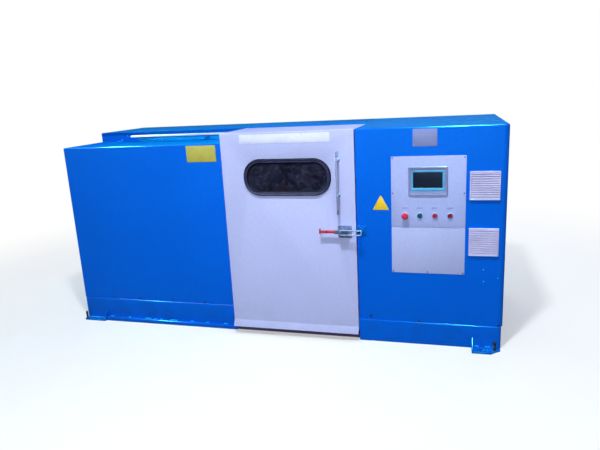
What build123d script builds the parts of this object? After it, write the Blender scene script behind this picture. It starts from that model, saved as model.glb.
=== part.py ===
from build123d import *
import math
import os

# ---------------------------------------------------------------------------
# Enclosed stranding machine: sheet-steel housing with a left block that is
# lower and set back, an L-shaped sliding door hood that runs over it, a taller
# right block with the control panel, a winding chamber behind the door, and
# four welded floor feet.
#
# Datum used while building: X = 0 at the right end plane, X negative to the
# left; Y = 0 on the right block's front plane, Y positive to the rear; Z = 0
# on the floor.  Every piece is shifted at export so that the origin is the
# centre of the footprint on the floor.
# ---------------------------------------------------------------------------

# ---- driving dimensions (mm) ----------------------------------------------
LENGTH = 2660.0          # overall length of the housing
DEPTH = 1016.0           # housing depth, front plane to rear plane
HEIGHT = 1216.0          # top of the covers
T = 4.0                  # sheet thickness of the housing

X_SPLIT = -780.0         # left side of the right block
X_DOOR_L = -1553.0       # left edge of the door
X_DOOR_R = -783.0        # right edge of the door
DOOR_TRAVEL = 760.0      # how far the door runs to the left

Y_LEFT = 40.0            # front plane of the left block's panel
Z_LEDGE = 1154.0         # top of the left block
Y_WALL = 460.0           # recess wall above the left block
Z_SEAM_L = 150.0         # seam between plinth and panel, left block
Z_SEAM_R = 130.0         # seam between plinth and panel, right block
R_CORNER = 28.0          # rounded vertical corner of the right block
R_TOP = 12.0             # rounded top front edge of the right block
Y_PLINTH_R = -5.0        # the right block's plinth stands a little proud of its panel

Z_TRACK = 32.0           # top of the bar that the door's wheels run on
Z_TOE = 25.0             # top of the blue toe bar under the left block
RAIL_Y0, RAIL_Y1 = 303.0, 327.0
RAIL_Z0, RAIL_Z1 = 1189.0, 1201.0
X_RAIL_L = -2333.0       # left end of the door rail

Y_DOOR = -20.0           # front face of the door sheet
Z_DOOR_BEND = 87.0       # where the door's foot starts to flare out
Z_DOOR_BOT = 48.5        # lowest edge of the door
Y_LIP = 412.0            # rear edge of the door's top lip
Y_CHEEK = 290.0          # rear edge of the door's side cheeks, in front of the rail

WIN_X0, WIN_X1 = -1422.0, -913.0
WIN_Z0, WIN_Z1 = 858.0, 1068.0
WIN_R = 98.0             # corner radius of the window's rubber
SEAL_W = 28.0            # visible width of the rubber

PANEL_X0, PANEL_X1 = -590.0, -205.0
PANEL_Z0, PANEL_Z1 = 422.0, 1065.0
HMI_X0, HMI_X1 = -500.5, -296.5
HMI_Z0, HMI_Z1 = 854.0, 1009.0
BUTTON_X = (-517.0, -439.0, -361.0, -283.0)
BUTTON_Z = 747.0
VENT = 150.0
VENT_X0 = -187.0
VENT_Z0 = (832.0, 531.0)

FOOT_OUT = 74.0          # how far a foot plate stands out of the housing
FOOT_T = 10.0
HOLE_R = 9.0             # floor anchor hole
HOLE_IN = 112.0          # anchor hole to the end plane
HOLE_OUT = 42.0          # anchor hole to the housing's front or rear plane

ROTOR_Y, ROTOR_Z = 530.0, 640.0
PIVOT = (-842.0, -46.0)  # vertical pin of the latch lever (X, Y)
HOOK_PIN = (-866.0, -62.0)
Z_LATCH = 658.0

SHIFT = Location((LENGTH / 2.0, -DEPTH / 2.0, 0.0))
os.makedirs("parts", exist_ok=True)
made = []


def save(shape, name):
    solids = [s.moved(SHIFT) for s in shape.solids()]
    export_step(Compound(solids) if len(solids) > 1 else solids[0], "parts/%s.step" % name)
    made.append(name)


def slab(x0, x1, y0, y1, z0, z1):
    """A plain block between two corners."""
    b = Box(x1 - x0, y1 - y0, z1 - z0)
    return b.moved(Location(((x0 + x1) / 2.0, (y0 + y1) / 2.0, (z0 + z1) / 2.0)))


def rod(axis, cx, cy, cz, r, length):
    """A round bar centred on a point, along x, y or z."""
    c = Cylinder(r, length)
    if axis == "x":
        c = c.rotate(Axis.Y, 90)
    elif axis == "y":
        c = c.rotate(Axis.X, 90)
    return c.moved(Location((cx, cy, cz)))


def front_round(x0, x1, z0, z1, r, y0, y1):
    """A rounded rectangle in the front plane, from depth y0 to y1."""
    b = slab(x0, x1, y0, y1, z0, z1)
    return fillet(b.edges().filter_by(Axis.Y), r)


def group(*shapes):
    return Compound([s for shape in shapes for s in shape.solids()])


# ---- left block ------------------------------------------------------------
XL = -LENGTH
X_JAMB_L = -1530.0       # left side of the doorway
X_JAMB_R = X_SPLIT       # right side of the doorway

XLP = XL + 8.0          # the plinth is inset at the left end
save(slab(XLP, X_JAMB_L, Y_LEFT - 6, Y_LEFT, 0, Z_SEAM_L), "left_plinth")
save(slab(XL, X_JAMB_L, Y_LEFT, Y_LEFT + T, Z_SEAM_L, Z_LEDGE - T), "left_front_panel")
save(slab(XL, X_JAMB_L, Y_LEFT, Y_WALL - T, Z_LEDGE - T, Z_LEDGE), "left_ledge")

end_pts = [(Y_LEFT + T, Z_SEAM_L), (DEPTH - T, Z_SEAM_L), (DEPTH - T, HEIGHT - T), (Y_WALL, HEIGHT - T),
           (Y_WALL, Z_LEDGE - T), (Y_LEFT + T, Z_LEDGE - T)]
end_face = make_face(Polyline([(XL, y, z) for y, z in end_pts] + [(XL, end_pts[0][0], end_pts[0][1])]))
save(extrude(end_face, amount=T, dir=(1, 0, 0)), "left_end_panel")

# ---- recess wall, covers ---------------------------------------------------
save(slab(XL, X_SPLIT, Y_WALL - T, Y_WALL, Z_LEDGE - T, HEIGHT - T), "recess_wall")
save(slab(XL, X_SPLIT - 1, Y_WALL - T, DEPTH, HEIGHT - T, HEIGHT), "main_top_cover")

# ---- right block -----------------------------------------------------------
save(slab(X_SPLIT, -R_CORNER, 0, T, Z_SEAM_R, HEIGHT - R_TOP), "right_front_panel")

post = Cylinder(R_CORNER, HEIGHT - R_TOP - Z_SEAM_R)
post = post - Cylinder(R_CORNER - T, HEIGHT - R_TOP - Z_SEAM_R + 2)
keep = slab(0, R_CORNER, -R_CORNER, 0, -HEIGHT, HEIGHT)
post = (post & keep).moved(Location((-R_CORNER, R_CORNER, (HEIGHT - R_TOP + Z_SEAM_R) / 2.0)))
save(post, "right_corner_post")

save(slab(-T, 0, R_CORNER, DEPTH - T, Z_SEAM_R, HEIGHT - R_TOP), "right_end_panel")

cap = slab(X_SPLIT, 0, 0, DEPTH, HEIGHT - R_TOP, HEIGHT)
cap = fillet([e for e in cap.edges().filter_by(Axis.Z)
              if abs(e.center().X) < 1 and abs(e.center().Y) < 1], R_CORNER)
cap = fillet([e for e in cap.edges() if abs(e.center().Z - HEIGHT) < 0.5
              and (e.center().Y < R_CORNER or e.center().X > -R_CORNER)
              and e.center().X > X_SPLIT + 1 and e.center().Y < DEPTH - 1], R_TOP - 2)
save(cap, "right_top_cover")

save(slab(X_SPLIT, -R_CORNER, Y_PLINTH_R, 3, 0, Z_SEAM_R), "right_plinth")
ppost = Cylinder(R_CORNER - 7, Z_SEAM_R) - Cylinder(R_CORNER - 15, Z_SEAM_R + 2)
ppost = (ppost & keep).moved(Location((-R_CORNER, Y_PLINTH_R + R_CORNER - 7, Z_SEAM_R / 2.0)))
skirt_right = slab(-15, -7, Y_PLINTH_R + R_CORNER - 7, DEPTH - 2 * T, 0, Z_SEAM_R)
skirt_left = slab(XLP, XLP + T, Y_LEFT, DEPTH - 2 * T - 1, 0, Z_SEAM_L)
skirt_rear = slab(XLP, -T - 12, DEPTH - 2 * T, DEPTH - T, 0, Z_SEAM_R)
save(group(ppost + skirt_right, skirt_left, skirt_rear), "end_and_rear_plinth")

# ---- rear ------------------------------------------------------------------
save(group(slab(XL, -1541, DEPTH - T, DEPTH, Z_SEAM_R, HEIGHT - T),
           slab(-1539, X_SPLIT - 1, DEPTH - T, DEPTH, Z_SEAM_R, HEIGHT - T),
           slab(X_SPLIT + 1, 0, DEPTH - T, DEPTH, Z_SEAM_R, HEIGHT - R_TOP)), "rear_panels")

# ---- winding chamber behind the door ---------------------------------------
jamb_l = slab(X_JAMB_L - T, X_JAMB_L, Y_LEFT + T, DEPTH - 2 * T, Z_SEAM_L, Z_LEDGE - T)
jamb_r = slab(X_JAMB_R, X_JAMB_R + T, T, DEPTH - T, Z_SEAM_R, HEIGHT - R_TOP)
save(group(jamb_l, jamb_r), "chamber_walls")
floor_plate = slab(X_JAMB_L, X_JAMB_R, 65, DEPTH - 2 * T - 1, 96, 100)
save(group(floor_plate, slab(X_JAMB_L, X_SPLIT - 1, 60, 64, 0, 100)), "chamber_floor")

# ---- lower track: blue ledge under the left block, dark bar under the door -
save(group(slab(XL + 162, X_DOOR_L - 1, 14, Y_LEFT - 6, 0, Z_TOE),
           slab(X_DOOR_L, X_SPLIT - 1, 22, Y_LEFT - 6, 0, Z_TRACK)
           + slab(X_JAMB_L + 1, X_SPLIT - 1, Y_LEFT - 6, 60, 0, Z_TRACK)), "lower_track")

# ---- upper rail and its brackets -------------------------------------------
save(slab(X_RAIL_L, X_JAMB_R - 2, RAIL_Y0, RAIL_Y1, RAIL_Z0, RAIL_Z1), "upper_rail")
brackets = []
for bx in (X_RAIL_L + 18, -1840.0, -1340.0, -840.0):
    brackets.append(slab(bx - 16, bx + 16, RAIL_Y0 + 2, Y_WALL - T, RAIL_Z0 - 6, RAIL_Z0))
save(group(*brackets), "rail_brackets")

# ---- sliding door ----------------------------------------------------------
sheet = slab(X_DOOR_L, X_DOOR_R, Y_DOOR, Y_DOOR + T, Z_DOOR_BEND, HEIGHT - T)
hole = front_round(WIN_X0 + 15, WIN_X1 - 15, WIN_Z0 + 15, WIN_Z1 - 15, WIN_R - 15, Y_DOOR - 5, Y_DOOR + T + 5)
save(sheet - hole, "door_panel")
save(slab(X_DOOR_L, X_DOOR_R, Y_DOOR, Y_LIP, HEIGHT - T, HEIGHT), "door_top_lip")

cheek = [(Y_DOOR + T, 60), (30, 60), (30, Z_LEDGE + 8), (Y_CHEEK, Z_LEDGE + 8), (Y_CHEEK, HEIGHT - T),
         (Y_DOOR + T, HEIGHT - T)]


def door_cheek(x):
    f = make_face(Polyline([(x, y, z) for y, z in cheek] + [(x, cheek[0][0], cheek[0][1])]))
    return extrude(f, amount=3.0, dir=(1, 0, 0))


save(group(door_cheek(X_DOOR_L), door_cheek(X_DOOR_R - 3.0)), "door_cheeks")

flare_pts = [(Y_DOOR, Z_DOOR_BEND), (Y_DOOR + T, Z_DOOR_BEND), (Y_DOOR + T, Z_DOOR_BEND - 1),
             (-36.6, Z_DOOR_BOT), (-41.0, Z_DOOR_BOT)]
ff = make_face(Polyline([(X_DOOR_L, y, z) for y, z in flare_pts] + [(X_DOOR_L, flare_pts[0][0], flare_pts[0][1])]))
save(extrude(ff, amount=X_DOOR_R - X_DOOR_L, dir=(1, 0, 0)), "door_flare")

seal = front_round(WIN_X0, WIN_X1, WIN_Z0, WIN_Z1, WIN_R, Y_DOOR - 11, Y_DOOR)
seal = seal - front_round(WIN_X0 + SEAL_W, WIN_X1 - SEAL_W, WIN_Z0 + SEAL_W, WIN_Z1 - SEAL_W,
                          WIN_R - SEAL_W, Y_DOOR - 15, Y_DOOR + 5)
save(seal, "window_seal")
save(front_round(WIN_X0 + 16, WIN_X1 - 16, WIN_Z0 + 16, WIN_Z1 - 16, WIN_R - 16,
                 Y_DOOR, Y_DOOR + 6), "window_glass")

# guide shoes: U-shaped blocks under the lip that straddle the rail
shoes = []
for hx in (-1440.0, -900.0):
    shoe = slab(hx - 28, hx + 28, 262, 338, RAIL_Z1 + 5, HEIGHT - T)
    shoe = shoe + slab(hx - 28, hx + 28, 288, 298, RAIL_Z0 + 5, RAIL_Z1 + 5)
    shoe = shoe + slab(hx - 28, hx + 28, 332, 338, RAIL_Z0 + 5, RAIL_Z1 + 5)
    shoes.append(shoe)
save(group(*shoes), "guide_shoes")

# wheels at the foot that run on the lower track, each on a small bracket
wheels = []
for hx in (-1480.0, -860.0):
    arm = slab(hx - 14, hx + 14, Y_DOOR + T, 20, 56, 100) - slab(hx - 15, hx + 15, -8, 12, 50, 94)
    wheels.append(arm + rod("y", hx, 25.0, Z_TRACK + 16.4, 16.0, 8.0) + rod("y", hx, 16.0, 62.0, 5.0, 12.0))
save(group(*wheels), "door_wheels")

# handle: flat stainless strip on two stand-off posts
strip = slab(-884, -868, -50, -45, 757, 1103)
strip = fillet(strip.edges().filter_by(Axis.Y), 5)
for hz in (862.0, 1055.0):
    strip = strip + rod("y", -873.0, (Y_DOOR - 45.0) / 2.0, hz, 6.0, abs(Y_DOOR + 45.0))
save(strip, "door_handle")

save(slab(-1435, -914, Y_DOOR - 1.5, Y_DOOR, 1153, 1205), "white_strip")

# ---- door latch: base with two ears, lever with grip, hook, catch ----------
base = slab(-884, -806, Y_DOOR - 4, Y_DOOR, Z_LATCH - 38, Z_LATCH + 32)
for ez in (Z_LATCH - 17, Z_LATCH + 13):
    base = base + slab(-862, -822, -56, Y_DOOR - 4, ez, ez + 4)
base = base + rod("z", PIVOT[0], PIVOT[1], Z_LATCH, 4.0, 34.0)
save(base, "latch_base")

lever = slab(-896, PIVOT[0] + 8, -52, -40, Z_LATCH - 9, Z_LATCH + 9)
lever = lever + slab(HOOK_PIN[0] - 7, HOOK_PIN[0] + 7, -68, -52, Z_LATCH - 8, Z_LATCH + 8)
lever = lever - rod("z", PIVOT[0], PIVOT[1], Z_LATCH, 4.05, 40)
lever = lever - rod("z", HOOK_PIN[0], HOOK_PIN[1], Z_LATCH, 3.05, 40)
save(lever, "latch_lever")
grip = slab(-979, -896, -54, -40, Z_LATCH - 6, Z_LATCH + 8)
grip = fillet(grip.edges().filter_by(Axis.X), 4.5)
grip = grip + slab(-986, -979, -55, -38, Z_LATCH - 11, Z_LATCH + 19)
save(grip, "latch_grip")

X_LOOP = -748.0          # closed end of the hook, beyond the catch
loop_len = X_LOOP - HOOK_PIN[0]
u = rod("z", X_LOOP, -62.0, Z_LATCH, 3.0, 31.0) + rod("z", HOOK_PIN[0], -62.0, Z_LATCH, 3.0, 31.0)
for hz in (Z_LATCH - 12.5, Z_LATCH + 12.5):
    u = u + rod("x", HOOK_PIN[0] + loop_len / 2.0, -62.0, hz, 3.0, loop_len)
save(u, "latch_hook")

catch = slab(-778, -730, -4, 0, Z_LATCH - 28, Z_LATCH + 28)
catch = catch + slab(-768, -738, -50, -4, Z_LATCH - 5, Z_LATCH + 5)
catch = catch + slab(-768, -762, -52, -4, Z_LATCH - 9, Z_LATCH + 9)
save(catch, "latch_catch")

# ---- control panel ---------------------------------------------------------
plate = front_round(PANEL_X0, PANEL_X1, PANEL_Z0, PANEL_Z1, 4, -3, 0)
for bx in BUTTON_X:
    plate = plate - rod("y", bx, 0, BUTTON_Z, 11.2 if bx == BUTTON_X[0] else 13.4, 20)
save(plate, "control_panel")
bezel = front_round(HMI_X0, HMI_X1, HMI_Z0, HMI_Z1, 6, -10, -3)
bezel = chamfer(bezel.edges().filter_by(Plane.XZ).group_by(Axis.Y)[0], 3)
bezel = bezel - slab(-484.5, -312.5, -20, -8, 880.5, 990.5)
save(bezel, "touch_screen_bezel")
save(slab(-484, -313, -9.2, -8, 881, 990), "touch_screen")

rings = []
for i, bx in enumerate(BUTTON_X):
    r0 = 16.0 if i else 15.0
    ring = rod("y", bx, -6.0, BUTTON_Z, r0, 6.0) - rod("y", bx, -6.0, BUTTON_Z, 13.0 if i else 10.6, 12.0)
    rings.append(ring)
save(group(*rings), "button_bezels")

estop = rod("y", BUTTON_X[0], -26.0, BUTTON_Z, 19.0, 14.0)
estop = fillet(estop.edges().group_by(Axis.Y)[0], 5)
estop = estop + rod("y", BUTTON_X[0], -12.5, BUTTON_Z, 10.0, 14.0)
save(estop, "emergency_stop")
for bx, nm in zip(BUTTON_X[1:], ("green_button", "red_button", "dark_red_button")):
    cap_b = rod("y", bx, -8.75, BUTTON_Z, 12.4, 8.5)
    cap_b = fillet(cap_b.edges().group_by(Axis.Y)[0], 1.5)
    save(cap_b, nm)

# ---- ventilation grilles ---------------------------------------------------
for vz, nm in zip(VENT_Z0, ("upper_vent", "lower_vent")):
    v = slab(VENT_X0, VENT_X0 + VENT, -12, 0, vz, vz + VENT)
    v = chamfer(v.edges().group_by(Axis.Y)[0], 3)
    pitch = (VENT - 16.0) / 12.0
    for k in range(12):
        z0 = vz + 8.0 + k * pitch
        v = v - slab(VENT_X0 + 8, VENT_X0 + VENT - 8, -14, -5, z0, z0 + pitch * 0.45)
    save(v, nm)

# ---- blank plates ----------------------------------------------------------
save(slab(-476, -352, -1.5, 0, 1115, 1205), "blank_nameplate")
save(slab(-1801, -1612, Y_LEFT - 1.5, Y_LEFT, 1050, 1147), "yellow_plate")
tri = make_face(Polyline([(-692, 0, 776), (-602, 0, 776), (-647, 0, 858), (-692, 0, 776)]))
save(extrude(tri, amount=1.5, dir=(0, -1, 0)), "triangle_plate")

# ---- feet: plate with anchor hole and a gusset; levelling bolts ------------


def foot(mx, my, reach, wall, pts, hole_y):
    """One floor foot built at the right front corner, then mirrored."""
    f = make_face(Polyline([(x, y, 0) for x, y in pts] + [(pts[0][0], pts[0][1], 0)]))
    p = extrude(f, amount=FOOT_T, dir=(0, 0, 1))
    p = p - Cylinder(HOLE_R, 60).moved(Location((-HOLE_IN, hole_y, 0)))
    g = make_face(Polyline([(-160, wall, FOOT_T), (-160, reach, FOOT_T), (-160, wall, 62), (-160, wall, FOOT_T)]))
    p = p + extrude(g, amount=8, dir=(1, 0, 0))
    if mx < 0:
        p = p.mirror(Plane.YZ.offset(-LENGTH / 2.0))
    if my > 0:
        p = p.mirror(Plane.XZ.offset(-DEPTH / 2.0))
    return p


FRONT = [(-160, -FOOT_OUT), (-62, -FOOT_OUT), (-10, -26), (-10, -5.5), (-160, -5.5)]
REAR = [(-160, -FOOT_OUT), (-62, -FOOT_OUT), (-10, -26), (-10, 3.5), (-160, 3.5)]
LEFT = [(-160, 0), (-6, 0), (0, 6), (0, 33.5), (-160, 33.5)]
save(group(foot(1, -1, -FOOT_OUT, -5.5, FRONT, -38.75), foot(-1, -1, 0.0, 33.5, LEFT, 13.75),
           foot(1, 1, -FOOT_OUT, 3.5, REAR, -38.25), foot(-1, 1, -FOOT_OUT, 3.5, REAR, -38.25)), "floor_feet")

bolts = []
for bx, by in ((-42.0, -34.0), (-LENGTH + 9.0, 18.0), (-42.0, DEPTH + 34.0), (-LENGTH + 42.0, DEPTH + 34.0)):
    r_nut = 8.0 if by == 18.0 else 11.0
    bolts.append(rod("z", bx, by, FOOT_T + 6.0, r_nut, 12.0) + rod("z", bx, by, FOOT_T + 21.0, 6.0, 34.0)
                 + rod("z", bx, by, FOOT_T + 40.0, r_nut, 10.0))
save(group(*bolts), "levelling_bolts")

# ---- inside the chamber: rotor discs, bows, bobbin on its shaft ------------
discs = []
for dx, h0, h1 in ((X_JAMB_L + 30.0, X_JAMB_L, X_JAMB_L + 20.0), (X_JAMB_R - 30.0, X_JAMB_R - 20.0, X_JAMB_R)):
    discs.append(rod("x", dx, ROTOR_Y, ROTOR_Z, 200.0, 20.0)
                 + rod("x", (h0 + h1) / 2.0, ROTOR_Y, ROTOR_Z, 90.0, h1 - h0))
save(group(*discs), "rotor_discs")
XD0, XD1 = X_JAMB_L + 40.0, X_JAMB_R - 40.0
bows = []
for s in (1, -1):
    outer = ThreePointArc((XD0, ROTOR_Y, ROTOR_Z + s * 196), ((XD0 + XD1) / 2, ROTOR_Y, ROTOR_Z + s * 380),
                          (XD1, ROTOR_Y, ROTOR_Z + s * 196))
    inner = ThreePointArc((XD1, ROTOR_Y, ROTOR_Z + s * 188), ((XD0 + XD1) / 2, ROTOR_Y, ROTOR_Z + s * 372),
                          (XD0, ROTOR_Y, ROTOR_Z + s * 188))
    l1 = Line((XD1, ROTOR_Y, ROTOR_Z + s * 196), (XD1, ROTOR_Y, ROTOR_Z + s * 188))
    l2 = Line((XD0, ROTOR_Y, ROTOR_Z + s * 188), (XD0, ROTOR_Y, ROTOR_Z + s * 196))
    bow_face = make_face([outer, l1, inner, l2])
    bow = extrude(bow_face, amount=22, both=True, dir=(0, 1, 0))
    bows.append(bow)
save(group(*bows), "flyer_bows")
XB = -1200.0
flanges = rod("y", XB, 350.0, ROTOR_Z, 278.0, 20.0) + rod("y", XB, 690.0, ROTOR_Z, 278.0, 20.0) \
    + rod("y", XB, 520.0, ROTOR_Z, 140.0, 340.0)
flanges = flanges - rod("y", XB, 520.0, ROTOR_Z, 30.2, 800.0)
save(flanges, "bobbin")
save(rod("y", XB, 649.0, ROTOR_Z, 30.0, 622.0), "bobbin_shaft")

print(len(made), "nodes")
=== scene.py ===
import math
import random

import bmesh
import bpy
from mathutils import Matrix, Vector


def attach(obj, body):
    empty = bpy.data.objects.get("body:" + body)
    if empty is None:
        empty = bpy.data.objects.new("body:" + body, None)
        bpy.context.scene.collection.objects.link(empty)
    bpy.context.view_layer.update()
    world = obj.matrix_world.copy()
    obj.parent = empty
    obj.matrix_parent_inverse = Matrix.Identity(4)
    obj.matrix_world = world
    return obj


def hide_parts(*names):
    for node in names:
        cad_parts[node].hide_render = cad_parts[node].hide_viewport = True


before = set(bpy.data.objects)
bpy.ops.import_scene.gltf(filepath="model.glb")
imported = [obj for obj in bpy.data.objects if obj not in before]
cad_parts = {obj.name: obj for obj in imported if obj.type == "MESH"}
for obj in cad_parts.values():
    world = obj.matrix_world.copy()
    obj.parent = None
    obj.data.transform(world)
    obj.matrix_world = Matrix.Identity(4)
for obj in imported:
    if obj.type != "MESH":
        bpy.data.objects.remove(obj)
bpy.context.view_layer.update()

# ---------------------------------------------------------------------------
# Looks of the enclosed stranding machine.  Lengths are given in millimetres
# from the machine's datum (X = 0 right end, Y = 0 right block's front plane,
# Z = 0 floor) and turned into the row frame here.
# ---------------------------------------------------------------------------
LEN, DEP, HGT = 2660.0, 1016.0, 1216.0
sc = bpy.context.scene
sc.view_settings.view_transform = "Standard"
sc.view_settings.look = "None"


def V(x, y, z):
    return Vector(((x + LEN / 2) / 1000.0, (y - DEP / 2) / 1000.0, z / 1000.0))


def datum(co):
    return co.x * 1000.0 - LEN / 2, co.y * 1000.0 + DEP / 2, co.z * 1000.0


# ---------------------------------------------------------------------------
# materials
# ---------------------------------------------------------------------------
class Tree:
    """A small builder for a procedural material."""

    def __init__(self, name):
        self.mat = bpy.data.materials.new(name)
        self.mat.use_nodes = True
        self.nt = self.mat.node_tree
        self.nt.nodes.clear()
        self.out = self.nt.nodes.new("ShaderNodeOutputMaterial")
        self.bsdf = self.nt.nodes.new("ShaderNodeBsdfPrincipled")
        self.nt.links.new(self.bsdf.outputs[0], self.out.inputs[0])
        self.coord = self.nt.nodes.new("ShaderNodeTexCoord").outputs["Object"]
        self.normal = None

    def node(self, kind, **sockets):
        n = self.nt.nodes.new(kind)
        for k, v in sockets.items():
            self.put(n.inputs[k.replace("_", " ")], v)
        return n

    def put(self, socket, v):
        if isinstance(v, bpy.types.NodeSocket):
            self.nt.links.new(v, socket)
        else:
            socket.default_value = v

    def stretch(self, sx, sy, sz, src=None):
        m = self.nt.nodes.new("ShaderNodeMapping")
        self.put(m.inputs["Vector"], src or self.coord)
        m.inputs["Scale"].default_value = (sx, sy, sz)
        return m.outputs[0]

    def noise(self, scale, detail=3.0, rough=0.55, vec=None, distortion=0.0):
        n = self.nt.nodes.new("ShaderNodeTexNoise")
        self.put(n.inputs["Vector"], vec or self.coord)
        n.inputs["Scale"].default_value = scale
        n.inputs["Detail"].default_value = detail
        n.inputs["Roughness"].default_value = rough
        n.inputs["Distortion"].default_value = distortion
        return n.outputs["Fac"] if "Fac" in n.outputs else n.outputs[0]

    def ramp(self, fac, lo, hi, out_lo=0.0, out_hi=1.0):
        m = self.nt.nodes.new("ShaderNodeMapRange")
        m.interpolation_type = "SMOOTHSTEP"
        m.inputs["From Min"].default_value = lo
        m.inputs["From Max"].default_value = hi
        m.inputs["To Min"].default_value = out_lo
        m.inputs["To Max"].default_value = out_hi
        self.put(m.inputs["Value"], fac)
        return m.outputs[0]

    def mix(self, fac, a, b, blend="MIX"):
        m = self.nt.nodes.new("ShaderNodeMix")
        m.data_type = "RGBA"
        m.blend_type = blend
        self.put(m.inputs[0], fac)
        self.put(m.inputs[6], a if isinstance(a, bpy.types.NodeSocket) else (*a[:3], 1.0))
        self.put(m.inputs[7], b if isinstance(b, bpy.types.NodeSocket) else (*b[:3], 1.0))
        return m.outputs[2]

    def math(self, op, a, b=0.0):
        m = self.nt.nodes.new("ShaderNodeMath")
        m.operation = op
        self.put(m.inputs[0], a)
        self.put(m.inputs[1], b)
        return m.outputs[0]

    def axis(self, i):
        s = self.nt.nodes.new("ShaderNodeSeparateXYZ")
        self.put(s.inputs[0], self.coord)
        return s.outputs[i]

    def bump(self, height, strength, distance):
        b = self.nt.nodes.new("ShaderNodeBump")
        b.inputs["Strength"].default_value = strength
        b.inputs["Distance"].default_value = distance
        self.put(b.inputs["Height"], height)
        if self.normal is not None:
            self.nt.links.new(self.normal, b.inputs["Normal"])
        self.normal = b.outputs[0]
        return self

    def finish(self, color, rough, **consts):
        self.put(self.bsdf.inputs["Base Color"], color if isinstance(color, bpy.types.NodeSocket) else (*color[:3], 1.0))
        self.put(self.bsdf.inputs["Roughness"], rough)
        for k, v in consts.items():
            self.bsdf.inputs[k.replace("_", " ")].default_value = v
        if self.normal is not None:
            self.nt.links.new(self.normal, self.bsdf.inputs["Normal"])
        return self.mat


def paint(name, base, deep, grime, rough=0.24, grime_amount=0.35, spec=0.5, tint=(1.0, 1.0, 1.0), peel=0.05, wave=0.03,
          edge_wear_and_glint=None, ior=1.5, painted_light_ramps=()):
    """Sprayed enamel on sheet steel: slow colour drift, dusty foot, faint scuffs, edges lightened partly as thin paint
    and partly as a painted highlight, optional painted light and shade ramps, orange peel.
    """
    t = Tree(name)
    col = t.mix(t.ramp(t.noise(1.3, 2.0), 0.30, 0.72), base, deep)
    cloud = t.ramp(t.noise(5.0, 2.0, 0.45), 0.20, 0.85)
    col = t.mix(t.math("MULTIPLY", cloud, 0.30), col, deep)
    mist = t.ramp(t.noise(95.0, 3.0, 0.6), 0.25, 0.75)
    col = t.mix(t.math("MULTIPLY", mist, 0.50), col, (deep[0] * 0.86, deep[1] * 0.84, deep[2] * 0.86))
    low = t.ramp(t.axis(2), 0.0, 0.30, 1.0, 0.0)
    patch = t.ramp(t.noise(12.0, 3.0, 0.5), 0.20, 0.90)
    col = t.mix(t.math("MULTIPLY", t.math("MULTIPLY", low, patch), grime_amount), col, grime)
    speck = t.ramp(t.noise(190.0, 2.0, 0.6), 0.68, 0.80)
    col = t.mix(t.math("MULTIPLY", speck, 0.16), col, grime)
    scuff = t.ramp(t.noise(9.0, 3.0, 0.5, t.stretch(9.0, 9.0, 0.7)), 0.50, 0.85)
    col = t.mix(t.math("MULTIPLY", scuff, 0.07), col, deep)
    # Edges lightened through a bevel mask: partly thin paint rubbed on the folds, partly a painted highlight along
    # them.
    if edge_wear_and_glint is not None:
        edge = t.nt.nodes.new("ShaderNodeBevel")
        edge.samples = 4
        edge.inputs["Radius"].default_value = 0.0022
        flat = t.nt.nodes.new("ShaderNodeNewGeometry")
        dot = t.nt.nodes.new("ShaderNodeVectorMath")
        dot.operation = "DOT_PRODUCT"
        t.put(dot.inputs[0], edge.outputs[0])
        t.put(dot.inputs[1], flat.outputs["True Normal"])
        rim = t.ramp(dot.outputs["Value"], 0.80, 0.985, 1.0, 0.0)
        broken = t.ramp(t.noise(34.0, 4.0, 0.6), 0.50, 0.66)
        col = t.mix(t.math("MULTIPLY", t.math("MULTIPLY", rim, broken), 0.55), col, edge_wear_and_glint)
    # Painted light and shade: ramps along one axis that lighten or darken the colour where light falls or shade lies.
    for axis, lo, hi, tone, amount in painted_light_ramps:
        col = t.mix(t.math("MULTIPLY", t.ramp(t.axis(axis), lo, hi), amount), col, tone)
    r = t.ramp(t.noise(4.0, 3.0), 0.2, 0.85, rough - 0.03, rough + 0.03)
    t.bump(t.noise(2.2, 2.0), wave, 0.012)
    t.bump(t.noise(330.0, 2.0), peel, 0.0008)
    return t.finish(col, r, IOR=ior, Specular_IOR_Level=spec, Specular_Tint=(*tint, 1.0))


def metal(name, base, dark, rough=0.3, grain=(1.0, 1.0, 40.0), grain_scale=60.0, bump=0.06, stain=0.35, metallic=1.0,
          light_fade=None):
    t = Tree(name)
    g = t.noise(grain_scale, 4.0, 0.6, t.stretch(*grain))
    col = t.mix(t.ramp(g, 0.3, 0.7), base, dark)
    s = t.ramp(t.noise(22.0, 5.0, 0.7), 0.55, 0.75)
    col = t.mix(t.math("MULTIPLY", s, stain), col, dark)
    # Painted highlight: the colour fades from the bright base to a duller tone along one axis.
    if light_fade is not None:
        col = t.mix(t.math("MULTIPLY", t.ramp(t.axis(light_fade[0]), light_fade[1], light_fade[2]), 0.8), col, light_fade[3])
    r = t.ramp(g, 0.3, 0.7, rough - 0.08, rough + 0.12)
    t.bump(g, bump, 0.002)
    return t.finish(col, r, Metallic=metallic)


def rusty(name, base, rust, amount=0.5, rough=0.5, metallic=0.4):
    t = Tree(name)
    s = t.ramp(t.noise(60.0, 6.0, 0.7), 0.55 - 0.25 * amount, 0.75 - 0.2 * amount)
    fine = t.noise(260.0, 3.0)
    col = t.mix(s, base, t.mix(fine, rust, (rust[0] * 0.4, rust[1] * 0.4, rust[2] * 0.4)))
    t.bump(fine, 0.25, 0.001)
    return t.finish(col, t.ramp(s, 0, 1, rough - 0.1, 0.85), Metallic=metallic)


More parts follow.
